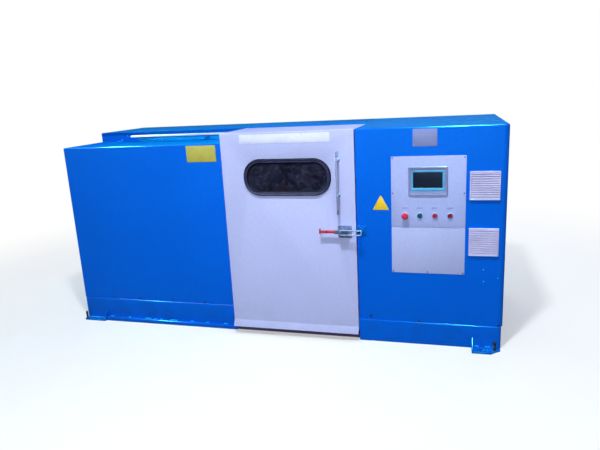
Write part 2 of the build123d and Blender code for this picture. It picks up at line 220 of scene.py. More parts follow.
def plastic(name, base, dark, rough=0.35, grain=420.0, bump=0.04, coat=0.0, dirt=0.2, spec=0.5):
    t = Tree(name)
    col = t.mix(t.ramp(t.noise(18.0, 4.0), 0.35, 0.7), base, dark)
    d = t.ramp(t.noise(120.0, 4.0, 0.7), 0.6, 0.75)
    col = t.mix(t.math("MULTIPLY", d, dirt), col, (dark[0] * 0.5, dark[1] * 0.5, dark[2] * 0.5))
    r = t.ramp(t.noise(30.0, 4.0), 0.3, 0.7, rough - 0.05, rough + 0.1)
    t.bump(t.noise(grain, 2.0), bump, 0.0008)
    return t.finish(col, r, Coat_Weight=coat, Coat_Roughness=0.08, Specular_IOR_Level=spec)


BLUE = (0.0016, 0.128, 0.765)
BLUE_D = (0.0014, 0.113, 0.700)
GRIME = (0.010, 0.040, 0.130)
CYAN = (0.10, 0.76, 1.0)
m_blue = paint("blue_enamel", BLUE, BLUE_D, GRIME, rough=0.24, grime_amount=0.20, spec=0.55, tint=CYAN, edge_wear_and_glint=(0.003, 0.22, 0.82))
m_blue_low = paint("blue_enamel_base", BLUE, BLUE_D, GRIME, rough=0.21, grime_amount=0.30, spec=0.7, tint=CYAN, edge_wear_and_glint=(0.003, 0.22, 0.82))
# Recess wall: painted light, a brighter cyan blue right of the rail's end and plain blue at the left end, with a
# painted shadow band darker above the rail.
m_recess_painted_light = paint("blue_enamel_recess_painted_light", (0.0020, 0.385, 0.830), (0.0018, 0.350, 0.790), GRIME, rough=0.24, grime_amount=0.15, spec=0.3,
                   tint=CYAN, ior=1.15, painted_light_ramps=((0, -0.97, -1.09, (0.0016, 0.118, 0.660), 1.0), (2, 1.187, 1.198, (0.0012, 0.062, 0.400), 0.9)))
# Ledge top: painted light, a brighter cyan blue right of the rail's end and plainer blue towards the left end.
m_ledge_painted_light = paint("blue_enamel_ledge_painted_light", (0.0016, 0.235, 0.760), (0.0014, 0.210, 0.720), GRIME, rough=0.50, grime_amount=0.15, spec=0.05,
                tint=CYAN, ior=1.06, painted_light_ramps=((0, -0.95, -1.09, (0.0016, 0.165, 0.720), 1.0),))
# Top faces: a greyer copy of the blue enamel, painted sheen for the sky seen at a grazing angle.
m_top_painted_sheen = paint("blue_enamel_top_painted_sheen", (0.0200, 0.160, 0.690), (0.0180, 0.140, 0.650), GRIME, rough=0.24, grime_amount=0.15, spec=0.45, tint=CYAN)
# Top cover: a greyer copy of the blue, darker and greyer towards the rear as a painted reflection.
m_cover_painted_sheen = paint("blue_enamel_cover_painted_sheen", (0.0030, 0.150, 0.700), (0.0026, 0.135, 0.660), GRIME, rough=0.24, grime_amount=0.15, spec=0.30, tint=CYAN,
                ior=1.3, painted_light_ramps=((1, 0.16, 0.50, (0.030, 0.070, 0.230), 0.85),))
# Feet and catch plate: a lighter cyan blue with bright cyan edges, painted glints on the glossy paint.
m_foot_painted_glint = paint("blue_enamel_foot_painted_glint", (0.003, 0.170, 0.690), (0.002, 0.110, 0.580), GRIME, rough=0.15, grime_amount=0.30, spec=0.9, tint=CYAN,
               peel=0.45, wave=0.0, edge_wear_and_glint=(0.03, 0.45, 0.95))
# Weld beads and spatter: pale cyan, a painted glint on the paint-covered welds.
m_weld_painted_glint = paint("blue_enamel_weld_painted_glint", (0.022, 0.560, 0.980), (0.010, 0.380, 0.920), GRIME, rough=0.12, grime_amount=0.10, spec=0.9, tint=CYAN, peel=0.1, wave=0.0)
# Rivet heads: pale cyan, lightened as a painted glint.
m_rivet_painted_glint = paint("pale_blue_plug_painted_glint", (0.060, 0.520, 0.950), (0.040, 0.420, 0.900), GRIME, rough=0.2, grime_amount=0.0, spec=0.7, tint=CYAN, wave=0.0)
# Door lip top: a darker copy of the door enamel, painted shade on the upward faces.
m_lip_painted_shade = paint("door_enamel_top_painted_shade", (0.385, 0.440, 0.880), (0.365, 0.420, 0.840), (0.26, 0.28, 0.40), rough=0.5, spec=0.15, ior=1.12)
m_door = paint("door_enamel", (0.476, 0.543, 0.895), (0.448, 0.509, 0.850), (0.26, 0.28, 0.40), rough=0.32, spec=0.30,
               edge_wear_and_glint=(0.60, 0.64, 0.90))
m_panel = paint("panel_enamel", (0.385, 0.475, 0.850), (0.362, 0.448, 0.815), (0.26, 0.28, 0.40), rough=0.36, spec=0.25, wave=0.02)
# Lower panel plate: a lighter copy of the panel enamel, painted light that offsets the lamp's falloff.
m_panel_low_painted_light = paint("panel_enamel_low_painted_light", (0.440, 0.520, 0.860), (0.410, 0.488, 0.825), (0.26, 0.28, 0.40), rough=0.36, spec=0.25, wave=0.02)
m_inside = paint("chamber_paint", (0.045, 0.050, 0.062), (0.030, 0.034, 0.042), (0.02, 0.018, 0.014), rough=0.42, spec=0.3)
# Rail: near-white steel lightened as a painted highlight at the left end, fading to dull blue-grey towards the right.
m_rail = metal("rail_steel", (0.93, 0.95, 1.00), (0.84, 0.88, 0.98), rough=0.40, grain=(0.02, 1.0, 1.0), metallic=0.15, stain=0.15,
               light_fade=(0, -0.95, -0.45, (0.30, 0.42, 0.80)))
m_dark = metal("blackened_steel", (0.085, 0.085, 0.095), (0.035, 0.033, 0.035), rough=0.45, stain=0.6, metallic=0.8)
m_track = paint("track_dark", (0.105, 0.085, 0.185), (0.080, 0.062, 0.140), (0.05, 0.04, 0.06), rough=0.5, spec=0.2)
m_stain = metal("stainless", (0.50, 0.51, 0.74), (0.30, 0.30, 0.48), rough=0.36, grain=(60.0, 60.0, 1.0), stain=0.35, metallic=0.4)
m_zinc = metal("latch_plating", (0.62, 0.66, 0.86), (0.40, 0.43, 0.62), rough=0.28, grain=(1, 1, 1), grain_scale=40.0, bump=0.03, stain=0.3, metallic=0.5)
m_chrome = metal("bright_plating", (0.80, 0.84, 0.95), (0.50, 0.54, 0.68), rough=0.14, grain=(1, 1, 1), grain_scale=40.0, bump=0.03, stain=0.2, metallic=0.9)
m_plate = metal("latch_body_plating", (0.30, 0.32, 0.52), (0.16, 0.17, 0.30), rough=0.30, grain=(1, 1, 1), grain_scale=40.0, bump=0.03, stain=0.4, metallic=0.5)
# Catch nose and screws: plating tinted blue as a painted reflection of the housing.
m_keeper_painted_reflection = metal("keeper_plating_painted_reflection", (0.16, 0.30, 0.52), (0.05, 0.11, 0.26), rough=0.22, grain=(1, 1, 1), grain_scale=40.0, bump=0.03, stain=0.5, metallic=0.8)
m_bolt = rusty("bolt_steel", (0.012, 0.020, 0.060), (0.030, 0.018, 0.026), 0.30, rough=0.5)
m_screw = rusty("panel_screw_steel", (0.150, 0.125, 0.270), (0.080, 0.055, 0.080), 0.30, rough=0.4)
m_bolt_blue = paint("painted_bolt", (0.0016, 0.110, 0.640), (0.0014, 0.090, 0.540), GRIME, rough=0.22, spec=0.7, tint=CYAN)
m_rust = rusty("rusty_bolt", (0.035, 0.018, 0.024), (0.075, 0.014, 0.012), 0.9, rough=0.75, metallic=0.1)
m_black_bolt = rusty("black_bolt", (0.012, 0.012, 0.016), (0.045, 0.022, 0.018), 0.35, rough=0.5, metallic=0.3)
m_rubber = plastic("rubber_face", (0.044, 0.043, 0.105), (0.030, 0.030, 0.078), rough=0.60, bump=0.05, dirt=0.30, spec=0.08)
# Lower inner band of the seal: lighter rubber, a painted highlight.
m_rubber_painted_highlight = plastic("rubber_face_low_painted_highlight", (0.078, 0.080, 0.165), (0.058, 0.060, 0.128), rough=0.55, bump=0.05, dirt=0.25, spec=0.10)
# Seal rims: near-black rubber, painted shade along the seal's outer and inner edges.
m_rim_painted_shade = plastic("rubber_rim_painted_shade", (0.007, 0.007, 0.014), (0.004, 0.004, 0.009), rough=0.60, bump=0.05, dirt=0.30, spec=0.05)
m_grey = plastic("bezel_plastic", (0.215, 0.245, 0.480), (0.190, 0.220, 0.440), rough=0.36)
m_nylon = plastic("black_nylon", (0.02, 0.02, 0.022), (0.01, 0.01, 0.012), rough=0.5)
m_vent = plastic("vent_plastic", (0.575, 0.555, 0.87), (0.505, 0.485, 0.80), rough=0.45, dirt=0.22)
# Filter mat: dark partly from its own grime and partly as painted shade in the louvre gaps.
m_filter_painted_shade = plastic("filter_mat_painted_shade", (0.13, 0.07, 0.17), (0.08, 0.045, 0.11), rough=0.9, grain=260.0, bump=0.5, dirt=0.6)
m_red = plastic("red_plastic", (0.40, 0.010, 0.065), (0.30, 0.007, 0.048), rough=0.25, coat=0.4, dirt=0.12)
m_stop = plastic("stop_red", (0.64, 0.036, 0.105), (0.52, 0.024, 0.080), rough=0.25, coat=0.4, dirt=0.08)
m_redgrip = plastic("red_grip", (0.62, 0.018, 0.045), (0.46, 0.012, 0.030), rough=0.30, coat=0.2, dirt=0.2)
m_dred = plastic("dark_red_plastic", (0.24, 0.008, 0.030), (0.16, 0.005, 0.020), rough=0.25, coat=0.4, dirt=0.1)
m_green = plastic("green_plastic", (0.002, 0.090, 0.125), (0.002, 0.062, 0.090), rough=0.25, coat=0.4, dirt=0.1)
m_white = plastic("white_vinyl", (0.66, 0.72, 0.97), (0.60, 0.66, 0.93), rough=0.30, bump=0.01, dirt=0.06)
m_yellow = plastic("yellow_vinyl", (0.440, 0.420, 0.072), (0.385, 0.365, 0.062), rough=0.36, bump=0.01, dirt=0.25)
m_yellow2 = plastic("yellow_bright", (0.86, 0.62, 0.030), (0.78, 0.54, 0.022), rough=0.32, bump=0.01, dirt=0.10)
m_silver = metal("plate_silver", (0.250, 0.285, 0.560), (0.215, 0.245, 0.500), rough=0.36, grain=(0.02, 1, 1), stain=0.2, metallic=0.2)
m_legend = plastic("legend_plate", (0.335, 0.400, 0.720), (0.300, 0.360, 0.670), rough=0.34, bump=0.01, dirt=0.10)
m_cyan = plastic("cyan_frame", (0.085, 0.42, 0.76), (0.070, 0.36, 0.70), rough=0.30, coat=0.2, dirt=0.05)
# Bobbin: dark red, darkened partly as dust and partly as painted shade inside the chamber.
m_bobbin_dust_and_shade = paint("bobbin_dust_and_shade", (0.055, 0.030, 0.036), (0.036, 0.022, 0.028), (0.03, 0.02, 0.02), rough=0.5, spec=0.3)
m_cap = paint("bobbin_red", (0.92, 0.060, 0.150), (0.80, 0.045, 0.110), (0.30, 0.03, 0.05), rough=0.35)


def screen_material():
    t = Tree("screen_glass")
    col = t.mix(t.ramp(t.noise(6.0, 3.0), 0.3, 0.7), (0.007, 0.010, 0.024), (0.013, 0.016, 0.036))
    smear = t.ramp(t.noise(14.0, 5.0, 0.7, t.stretch(1.0, 1.0, 2.5)), 0.45, 0.75)
    r = t.math("ADD", t.math("MULTIPLY", smear, 0.22), 0.10)
    t.bump(t.noise(30.0, 2.0), 0.01, 0.001)
    return t.finish(col, r, Coat_Weight=0.6, Coat_Roughness=0.05)


def glass_material():
    """Smoked pane: dark, part see-through, with greasy smears."""
    t = Tree("smoked_glass")
    smear = t.ramp(t.noise(9.0, 5.0, 0.7), 0.34, 0.72)
    spots = t.ramp(t.noise(42.0, 5.0, 0.75), 0.44, 0.70)
    film = t.math("ADD", t.math("MULTIPLY", smear, 0.55), t.math("MULTIPLY", spots, 0.60))
    col = t.mix(film, (0.0024, 0.0028, 0.0080), (0.062, 0.062, 0.135))
    r = t.math("ADD", t.math("MULTIPLY", smear, 0.25), 0.12)
    t.bump(t.noise(8.0, 2.0), 0.02, 0.002)
    return t.finish(col, r, Alpha=0.55, IOR=1.30)


m_screen = screen_material()
m_glass = glass_material()

# ---------------------------------------------------------------------------
# mesh helpers
# ---------------------------------------------------------------------------


def new_object(name, bm, mat, body="housing", smooth=30.0):
    bmesh.ops.recalc_face_normals(bm, faces=bm.faces)
    me = bpy.data.meshes.new(name)
    bm.to_mesh(me)
    bm.free()
    for p in me.polygons:
        p.use_smooth = True
    me.set_sharp_from_angle(angle=math.radians(smooth))
    o = bpy.data.objects.new(name, me)
    sc.collection.objects.link(o)
    if mat is not None:
        me.materials.append(mat)
    if body:
        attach(o, body)
    return o


def bevel_edges(bm, edges, width, segs=3):
    if edges and width > 0:
        bmesh.ops.bevel(bm, geom=list(edges), offset=width / 1000.0, offset_type="OFFSET",
                        segments=segs, profile=0.5, affect="EDGES", clamp_overlap=True)


def add_box(bm, x0, x1, y0, y1, z0, z1, bevel=0.0, segs=2, keep=None):
    """keep(p0, p1) picks which edges are bevelled; all by default."""
    a, b = V(x0, y0, z0), V(x1, y1, z1)
    part = bmesh.new()
    bmesh.ops.create_cube(part, size=1.0)
    for v in part.verts:
        v.co = Vector([a[i] + (b[i] - a[i]) * (v.co[i] + 0.5) for i in range(3)])
    if bevel:
        es = [e for e in part.edges if keep is None or keep(e.verts[0].co, e.verts[1].co)]
        bevel_edges(part, es, bevel, segs)
    merge(bm, part)
    return bm


def merge(bm, part, matrix=None):
    me = bpy.data.meshes.new("tmp")
    if matrix is not None:
        bmesh.ops.transform(part, matrix=matrix, verts=part.verts)
    part.to_mesh(me)
    part.free()
    bm.from_mesh(me)
    bpy.data.meshes.remove(me)
    return bm


def turned(profile, segs=32):
    """A closed body turned about Z from (radius, height) points in mm, starting and ending on the axis."""
    bm = bmesh.new()
    rings = []
    for r, h in profile:
        if r < 1e-6:
            rings.append([bm.verts.new((0, 0, h / 1000))])
        else:
            rings.append([bm.verts.new((r / 1000 * math.cos(2 * math.pi * k / segs),
                                        r / 1000 * math.sin(2 * math.pi * k / segs), h / 1000)) for k in range(segs)])
    for a, b in zip(rings, rings[1:]):
        for k in range(segs):
            k2 = (k + 1) % segs
            if len(a) == 1 and len(b) == 1:
                continue
            if len(a) == 1:
                bm.faces.new((a[0], b[k], b[k2]))
            elif len(b) == 1:
                bm.faces.new((a[k], a[k2], b[0]))
            else:
                bm.faces.new((a[k], a[k2], b[k2], b[k]))
    return bm


def place(part, axis, x, y, z, spin=0.0):
    """Matrix that stands a turned body with its +Z along an axis at a datum point."""
    look = {"z": Matrix.Identity(4), "-z": Matrix.Rotation(math.pi, 4, "X"),
            "-y": Matrix.Rotation(math.pi / 2, 4, "X"), "y": Matrix.Rotation(-math.pi / 2, 4, "X"),
            "x": Matrix.Rotation(math.pi / 2, 4, "Y"), "-x": Matrix.Rotation(-math.pi / 2, 4, "Y")}[axis]
    return Matrix.Translation(V(x, y, z)) @ look @ Matrix.Rotation(spin, 4, "Z")


def hex_head(af=13.0, height=7.0, washer=0.0, hole=0.0):
    """A hexagon bolt head on a washer, standing on z = 0."""
    bm = bmesh.new()
    if washer:
        merge(bm, turned([(0, 0), (washer, 0), (washer, 1.2), (washer - 0.5, 1.8), (0, 1.8)], 28))
    z0 = 1.6 if washer else 0.0
    part = bmesh.new()
    r = af / math.sqrt(3)
    lo = [part.verts.new((r / 1000 * math.cos(math.pi / 3 * k), r / 1000 * math.sin(math.pi / 3 * k), z0 / 1000)) for k in range(6)]
    hi = [part.verts.new((r / 1000 * math.cos(math.pi / 3 * k), r / 1000 * math.sin(math.pi / 3 * k), (z0 + height) / 1000)) for k in range(6)]
    part.faces.new(lo[::-1])
    top = part.faces.new(hi)
    for k in range(6):
        part.faces.new((lo[k], lo[(k + 1) % 6], hi[(k + 1) % 6], hi[k]))
    bevel_edges(part, list(top.edges), min(1.2, height * 0.2), 2)
    merge(bm, part)
    return bm


def button_screw(r=5.0, h=3.0):
    """Domed screw head with a round socket recess, standing on z = 0."""
    bm = turned([(0, 0), (r, 0), (r, h * 0.3), (r * 0.86, h * 0.75), (r * 0.62, h), (r * 0.46, h), (r * 0.44, h * 0.45), (0, h * 0.45)], 24)
    return bm


def prism(pts, axis, a, b):
    """A closed body from a 2-D outline, pushed along an axis from a to b (datum mm)."""
    bm = bmesh.new()

    def at(p, t):
        return {"x": V(t, p[0], p[1]), "y": V(p[0], t, p[1]), "z": V(p[0], p[1], t)}[axis]
    lo = [bm.verts.new(at(p, a)) for p in pts]
    hi = [bm.verts.new(at(p, b)) for p in pts]
    bm.faces.new(lo[::-1])
    bm.faces.new(hi)
    n = len(pts)
    for i in range(n):
        bm.faces.new((lo[i], lo[(i + 1) % n], hi[(i + 1) % n], hi[i]))
    bmesh.ops.recalc_face_normals(bm, faces=bm.faces)
    return bm


def arc(cx, cy, r, a0, a1, n):
    return [(cx + r * math.cos(math.radians(a0 + (a1 - a0) * i / n)),
             cy + r * math.sin(math.radians(a0 + (a1 - a0) * i / n))) for i in range(n + 1)]


def round_rect(x0, x1, z0, z1, r, n=8):
    return (arc(x1 - r, z1 - r, r, 0, 90, n) + arc(x0 + r, z1 - r, r, 90, 180, n)
            + arc(x0 + r, z0 + r, r, 180, 270, n) + arc(x1 - r, z0 + r, r, 270, 360, n))


def plate_y(bm, outline, y0, y1, bevel=0.0, segs=2):
    """A plate with its face to the front; y0 is the front."""
    part = prism(outline, "y", y0, y1)
    if bevel:
        front = V(0, y0, 0).y
        es = [e for e in part.edges if all(abs(v.co.y - front) < 1e-6 for v in e.verts)]
        bevel_edges(part, es, bevel, segs)
    merge(bm, part)
    return bm


def ring_sweep(bm, outline, profile, closed=True):
    """Sweeps a profile of (inward, y) points round a closed outline of (x, z) points."""
    n = len(outline)
    rows = []
    for i in range(n):
        p0, p1, p2 = Vector(outline[i - 1]), Vector(outline[i]), Vector(outline[(i + 1) % n])
        t = (p2 - p0).normalized()
        inward = Vector((-t.y, t.x))
        rows.append([bm.verts.new(V(p1.x + inward.x * a, y, p1.y + inward.y * a)) for a, y in profile])
    for i in range(n):
        r0, r1 = rows[i], rows[(i + 1) % n]
        for k in range(len(profile) - (0 if closed else 1)):
            k2 = (k + 1) % len(profile)
            bm.faces.new((r0[k], r0[k2], r1[k2], r1[k]))
    return bm


def tube(bm, points, r, segs=14):
    """A round bar through datum points, with flat closed ends."""
    pts = [V(*p) for p in points]
    rows = []
    up = None
    for i, p in enumerate(pts):
        t = (pts[min(i + 1, len(pts) - 1)] - pts[max(i - 1, 0)]).normalized()
        if up is None:
            up = t.orthogonal().normalized()
        else:
            up = (up - t * up.dot(t)).normalized()
        side = t.cross(up)
        rows.append([bm.verts.new(p + (up * math.cos(2 * math.pi * k / segs) + side * math.sin(2 * math.pi * k / segs)) * r / 1000)
                     for k in range(segs)])
    for a, b in zip(rows, rows[1:]):
        for k in range(segs):
            bm.faces.new((a[k], a[(k + 1) % segs], b[(k + 1) % segs], b[k]))
    bm.faces.new(rows[0][::-1])
    bm.faces.new(rows[-1])
    return bm


def loft_rings(bm, rings, n=5, closed=True):
    """Joins rounded rectangles (x0, x1, z0, z1, radius, y), one after another; closed joins the last to the first."""
    rows = [[bm.verts.new(V(x, y, z)) for x, z in round_rect(x0, x1, z0, z1, r, n)] for x0, x1, z0, z1, r, y in rings]
    m = len(rows[0])
    for i in range(len(rows) - (0 if closed else 1)):
        r0, r1 = rows[i], rows[(i + 1) % len(rows)]
        for k in range(m):
            bm.faces.new((r0[k], r0[(k + 1) % m], r1[(k + 1) % m], r1[k]))
    return bm


def weld(bm, p0, p1, r, seed, wobble=0.5):
    """A weld bead: an uneven round bead between two datum points, with closed ends."""
    rng = random.Random(seed)
    a, b = V(*p0), V(*p1)
    n = max(4, int((b - a).length * 1000 / 2.6))
    t = (b - a).normalized()
    u = t.orthogonal().normalized()
    w = t.cross(u)
    rows = []
    for i in range(n + 1):
        rr = r * (1.0 + wobble * (rng.random() - 0.5)) * (0.5 if i in (0, n) else 1.0)
        c = a.lerp(b, i / n) + (u * (rng.random() - 0.5) + w * (rng.random() - 0.5)) * r * 0.3 / 1000
        rows.append([bm.verts.new(c + (u * math.cos(math.pi * k / 4) + w * math.sin(math.pi * k / 4)) * rr / 1000) for k in range(8)])
    for q0, q1 in zip(rows, rows[1:]):
        for k in range(8):
            bm.faces.new((q0[k], q0[(k + 1) % 8], q1[(k + 1) % 8], q1[k]))
    bm.faces.new(rows[0][::-1])
    bm.faces.new(rows[-1])
    return bm


def sheet_skin(name, polys, bends, mat, thick=4.0, smooth=35.0):
    """Folded sheet: outer faces that share their bend edges, rounded there, then given their thickness inwards.
    Each bend is (test on its two ends in datum mm, radius, segments)."""
    bm = bmesh.new()
    seen = {}

    def at(p):
        k = tuple(round(c, 2) for c in p)
        if k not in seen:
            seen[k] = bm.verts.new(V(*p))
        return seen[k]
    for poly in polys:
        bm.faces.new([at(p) for p in poly])
    for test, radius, segs in bends:
        bm.normal_update()
        es = [e for e in bm.edges if len(e.link_faces) == 2 and test(datum(e.verts[0].co), datum(e.verts[1].co), e)]
        bevel_edges(bm, es, radius, segs)
    me = bpy.data.meshes.new(name)
    bm.to_mesh(me)
    bm.free()
    o = bpy.data.objects.new(name, me)
    sc.collection.objects.link(o)
    mod = o.modifiers.new("thickness", "SOLIDIFY")
    mod.thickness, mod.offset, mod.use_even_offset = thick / 1000.0, -1.0, True
    bpy.context.view_layer.update()
    full = bpy.data.meshes.new_from_object(o.evaluated_get(bpy.context.evaluated_depsgraph_get()))
    o.modifiers.clear()
    o.data = full
    bpy.data.meshes.remove(me)
    full.name = name
    for f in full.polygons:
        f.use_smooth = True
    full.set_sharp_from_angle(angle=math.radians(smooth))
    full.materials.append(mat)
    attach(o, "housing")
    return o


def finish_faces(o, mat, test):
    """Give the faces whose normal and centre (datum mm) pass the test a finish of their own."""
    o.data.materials.append(mat)
    k = len(o.data.materials) - 1
    for f in o.data.polygons:
        if test(f.normal, datum(f.center)):
            f.material_index = k


def top_box(bm, x0, x1, y0, y1, z0, z1, top_r, other=0.8, segs=4):
    """A bar whose top front edge is rounded more than the rest."""
    part = bmesh.new()
    add_box(part, x0, x1, y0, y1, z0, z1)
    bmesh.ops.recalc_face_normals(part, faces=part.faces)
    fy, tz = V(0, y0, 0).y, z1 / 1000.0
    bevel_edges(part, [e for e in part.edges if all(abs(v.co.y - fy) < 1e-6 and abs(v.co.z - tz) < 1e-6 for v in e.verts)], top_r, segs)
    rest = [e for e in part.edges if len(e.link_faces) == 2 and e.calc_face_angle(0) > math.radians(60)]
    bevel_edges(part, rest, other, 2)
    merge(bm, part)
    return bm


# ---------------------------------------------------------------------------
# camera first
# ---------------------------------------------------------------------------
cam_data = bpy.data.cameras.new("camera")
cam = bpy.data.objects.new("camera", cam_data)
sc.collection.objects.link(cam)
cam_data.sensor_width = 36.0
cam_data.sensor_fit = "HORIZONTAL"
cam_data.lens = 539.56 * 36.0 / 600.0
right = Vector((0.96312, 0.26413, -0.05131)).normalized()
ahead = Vector((-0.26870, 0.93419, -0.23471)).normalized()
up = right.cross(ahead).normalized()
right = ahead.cross(up).normalized()
cam.matrix_world = Matrix.Translation(V(-280.11, -2883.86, 1408.72)) @ Matrix((
    (right.x, up.x, -ahead.x, 0), (right.y, up.y, -ahead.y, 0), (right.z, up.z, -ahead.z, 0), (0, 0, 0, 1)))
cam_data.clip_start, cam_data.clip_end = 0.05, 100.0
sc.camera = cam

# ---------------------------------------------------------------------------
# left block: one folded skin of front, ledge and L-shaped end
# ---------------------------------------------------------------------------
XL, XS, XP = -2660.0, -780.0, -2652.0
JL = -1530.0
left_block = sheet_skin("left_block", [
    [(XL, 40, 150), (JL, 40, 150), (JL, 40, 1154), (XL, 40, 1154)],
    [(XL, 40, 1154), (JL, 40, 1154), (JL, 456, 1154), (XL, 456, 1154)],
    [(XL, DEP - 4, 150), (XL, 40, 150), (XL, 40, 1154), (XL, 456, 1154), (XL, 456, 1212), (XL, DEP - 4, 1212)],
], [(lambda p, q, e: True, 4.0, 4)], m_blue)
# The ledge top faces get the painted-light copy of the enamel.
finish_faces(left_block, m_ledge_painted_light, lambda n, c: n.z > 0.9 and c[1] > 44.5)
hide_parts("left_front_panel", "left_ledge", "left_end_panel")

bm = bmesh.new()
top_box(bm, XP, JL, 34, 40, 0, 150, 3.6, 1.2)
o = new_object("left_plinth_plate", bm, m_blue_low)
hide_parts("left_plinth")

# ---------------------------------------------------------------------------
# recess wall and top cover
# ---------------------------------------------------------------------------
# The wall's paint carries painted light below the rail and a painted shadow above it.
bm = bmesh.new()
add_box(bm, XL + 4.3, XS - 1, 456, 460, 1150.5, 1211.7, bevel=0.6)
o = new_object("recess_wall_sheet", bm, m_recess_painted_light)
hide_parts("recess_wall")
# The top cover's colour carries a painted reflection, darker towards the rear.
bm = bmesh.new()
add_box(bm, XL, XS - 1, 456, DEP, 1212, 1216, bevel=1.6, segs=3)
o = new_object("top_cover_sheet", bm, m_cover_painted_sheen)
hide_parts("main_top_cover")

# ---------------------------------------------------------------------------
# right block: one folded skin with a rounded corner and rounded top edges
# ---------------------------------------------------------------------------
def right_corner(p, q, e):
    return abs(p[0]) < 0.1 and abs(q[0]) < 0.1 and abs(p[1]) < 0.1 and abs(q[1]) < 0.1


def right_top(p, q, e):
    return abs(p[2] - HGT) < 0.1 and abs(q[2] - HGT) < 0.1 and any(abs(f.normal.z) < 0.1 for f in e.link_faces)


right_block = sheet_skin("right_block", [
    [(XS, 0, 130), (0, 0, 130), (0, 0, HGT), (XS, 0, HGT)],
    [(0, 0, 130), (0, DEP, 130), (0, DEP, HGT), (0, 0, HGT)],
    [(XS, 0, HGT), (0, 0, HGT), (0, DEP, HGT), (XS, DEP, HGT)],
], [(right_corner, 28.0, 8), (right_top, 10.0, 6)], m_blue)
# The top faces get the painted-sheen copy of the enamel.
finish_faces(right_block, m_top_painted_sheen, lambda n, c: n.z > 0.98)
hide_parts("right_front_panel", "right_corner_post", "right_end_panel", "right_top_cover")

# plinth: it stands 5 mm proud, and its rounded top edge catches the light
outer = [(XS, -5.0)] + arc(-28, 16, 21, -90, 0, 8) + [(-7.0, DEP - 8)]
inner = [(-15.0, DEP - 8)] + arc(-28, 16, 13, 0, -90, 8) + [(XS, 3.0)]
part = prism(outer + inner, "z", 0, 130)
on_outer = {(round(x, 1), round(y, 1)) for x, y in outer}
es = []
for e in part.edges:
    d = [datum(v.co) for v in e.verts]
    if all(abs(c[2] - 130) < 0.1 and (round(c[0], 1), round(c[1], 1)) in on_outer for c in d):
        es.append(e)
bevel_edges(part, es, 3.8, 4)
o = new_object("right_plinth_plate", part, m_blue_low, smooth=35)
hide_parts("right_plinth")
bm = bmesh.new()
add_box(bm, XP, XP + 4, 40.2, DEP - 9, 0, 149.5, 1.0)
add_box(bm, XP, -16, DEP - 8, DEP - 4, 0, 130, 1.0)
o = new_object("end_plinth_plates", bm, m_blue_low)
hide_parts("end_and_rear_plinth")

# rear sheets with a thin shadow gap between them
bm = bmesh.new()
for x0, x1, top in ((XL, -1541, 1212), (-1539, XS - 1, 1212), (XS + 1, -4.3, 1211.5)):
    add_box(bm, x0, x1, DEP - 4, DEP, 130, top, 1.2, 3)
o = new_object("rear_sheets", bm, m_blue)
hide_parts("rear_panels")

# ---------------------------------------------------------------------------
# chamber
# ---------------------------------------------------------------------------
bm = bmesh.new()
add_box(bm, JL - 4, JL, 44.3, DEP - 8, 150, 1149.5, 0.8)
add_box(bm, XS, XS + 4, 4.4, DEP - 4.5, 130.3, 1211.5, 0.8)
o = new_object("chamber_wall_sheets", bm, m_inside)
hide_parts("chamber_walls")

# ---------------------------------------------------------------------------
# lower track and the weld beads along the blue toe bar
# ---------------------------------------------------------------------------
bm = bmesh.new()
top_box(bm, XL + 162, -1554, 14, 34, 0, 25, 4.5, 1.2, 5)
o = new_object("toe_bar", bm, m_blue_low)
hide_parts("lower_track")
part = prism([(-1553, 22), (XS - 1, 22), (XS - 1, 60), (JL + 1, 60), (JL + 1, 34), (-1553, 34)], "z", 0, 32)
bevel_edges(part, [e for e in part.edges if e.calc_face_angle(0) > math.radians(60)], 1.4, 2)
o = new_object("track_dark_bar", part, m_track)
bm = bmesh.new()
for k, (x, half) in enumerate(((-2464, 13), (-2333, 9), (-2192, 22), (-2140, 10), (-2096, 9), (-2016, 16), (-1990, 8), (-1876, 9), (-1767, 10), (-1640, 12))):
    weld(bm, (x - half, 33, 26), (x + half, 33, 26), 3.4, 11 + k)
for k, (x, half) in enumerate(((-2520, 22), (-2330, 18), (-2200, 16), (-2050, 20), (-1880, 18), (-1700, 20), (-1580, 14))):
    weld(bm, (x - half, 455.2, 1155.2), (x + half, 455.2, 1155.2), 3.2, 31 + k)
weld(bm, (-2650, 30, 11.5), (-2515, 33.5, 11.5), 2.6, 51)
weld(bm, (-90, -5.5, 12), (-60, -5.5, 12), 3.0, 52)
weld(bm, (-150, -5.5, 12), (-120, -5.5, 12), 3.0, 53)
# The beads are pale cyan as painted glints.
o = new_object("weld_beads", bm, m_weld_painted_glint, smooth=80)

# ---------------------------------------------------------------------------
# rail
# ---------------------------------------------------------------------------
bm = bmesh.new()
add_box(bm, -2333, XS - 2, 303, 327, 1189, 1201, 2.4, 4)
o = new_object("rail_bar", bm, m_rail)
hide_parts("upper_rail")
# Dark strip behind the rail: painted shade above and below the rail.
bm = bmesh.new()
add_box(bm, -2331, XS - 4, 327, 330, 1182, 1204, 0.6)
o = new_object("rail_shade_strip", bm, m_track)

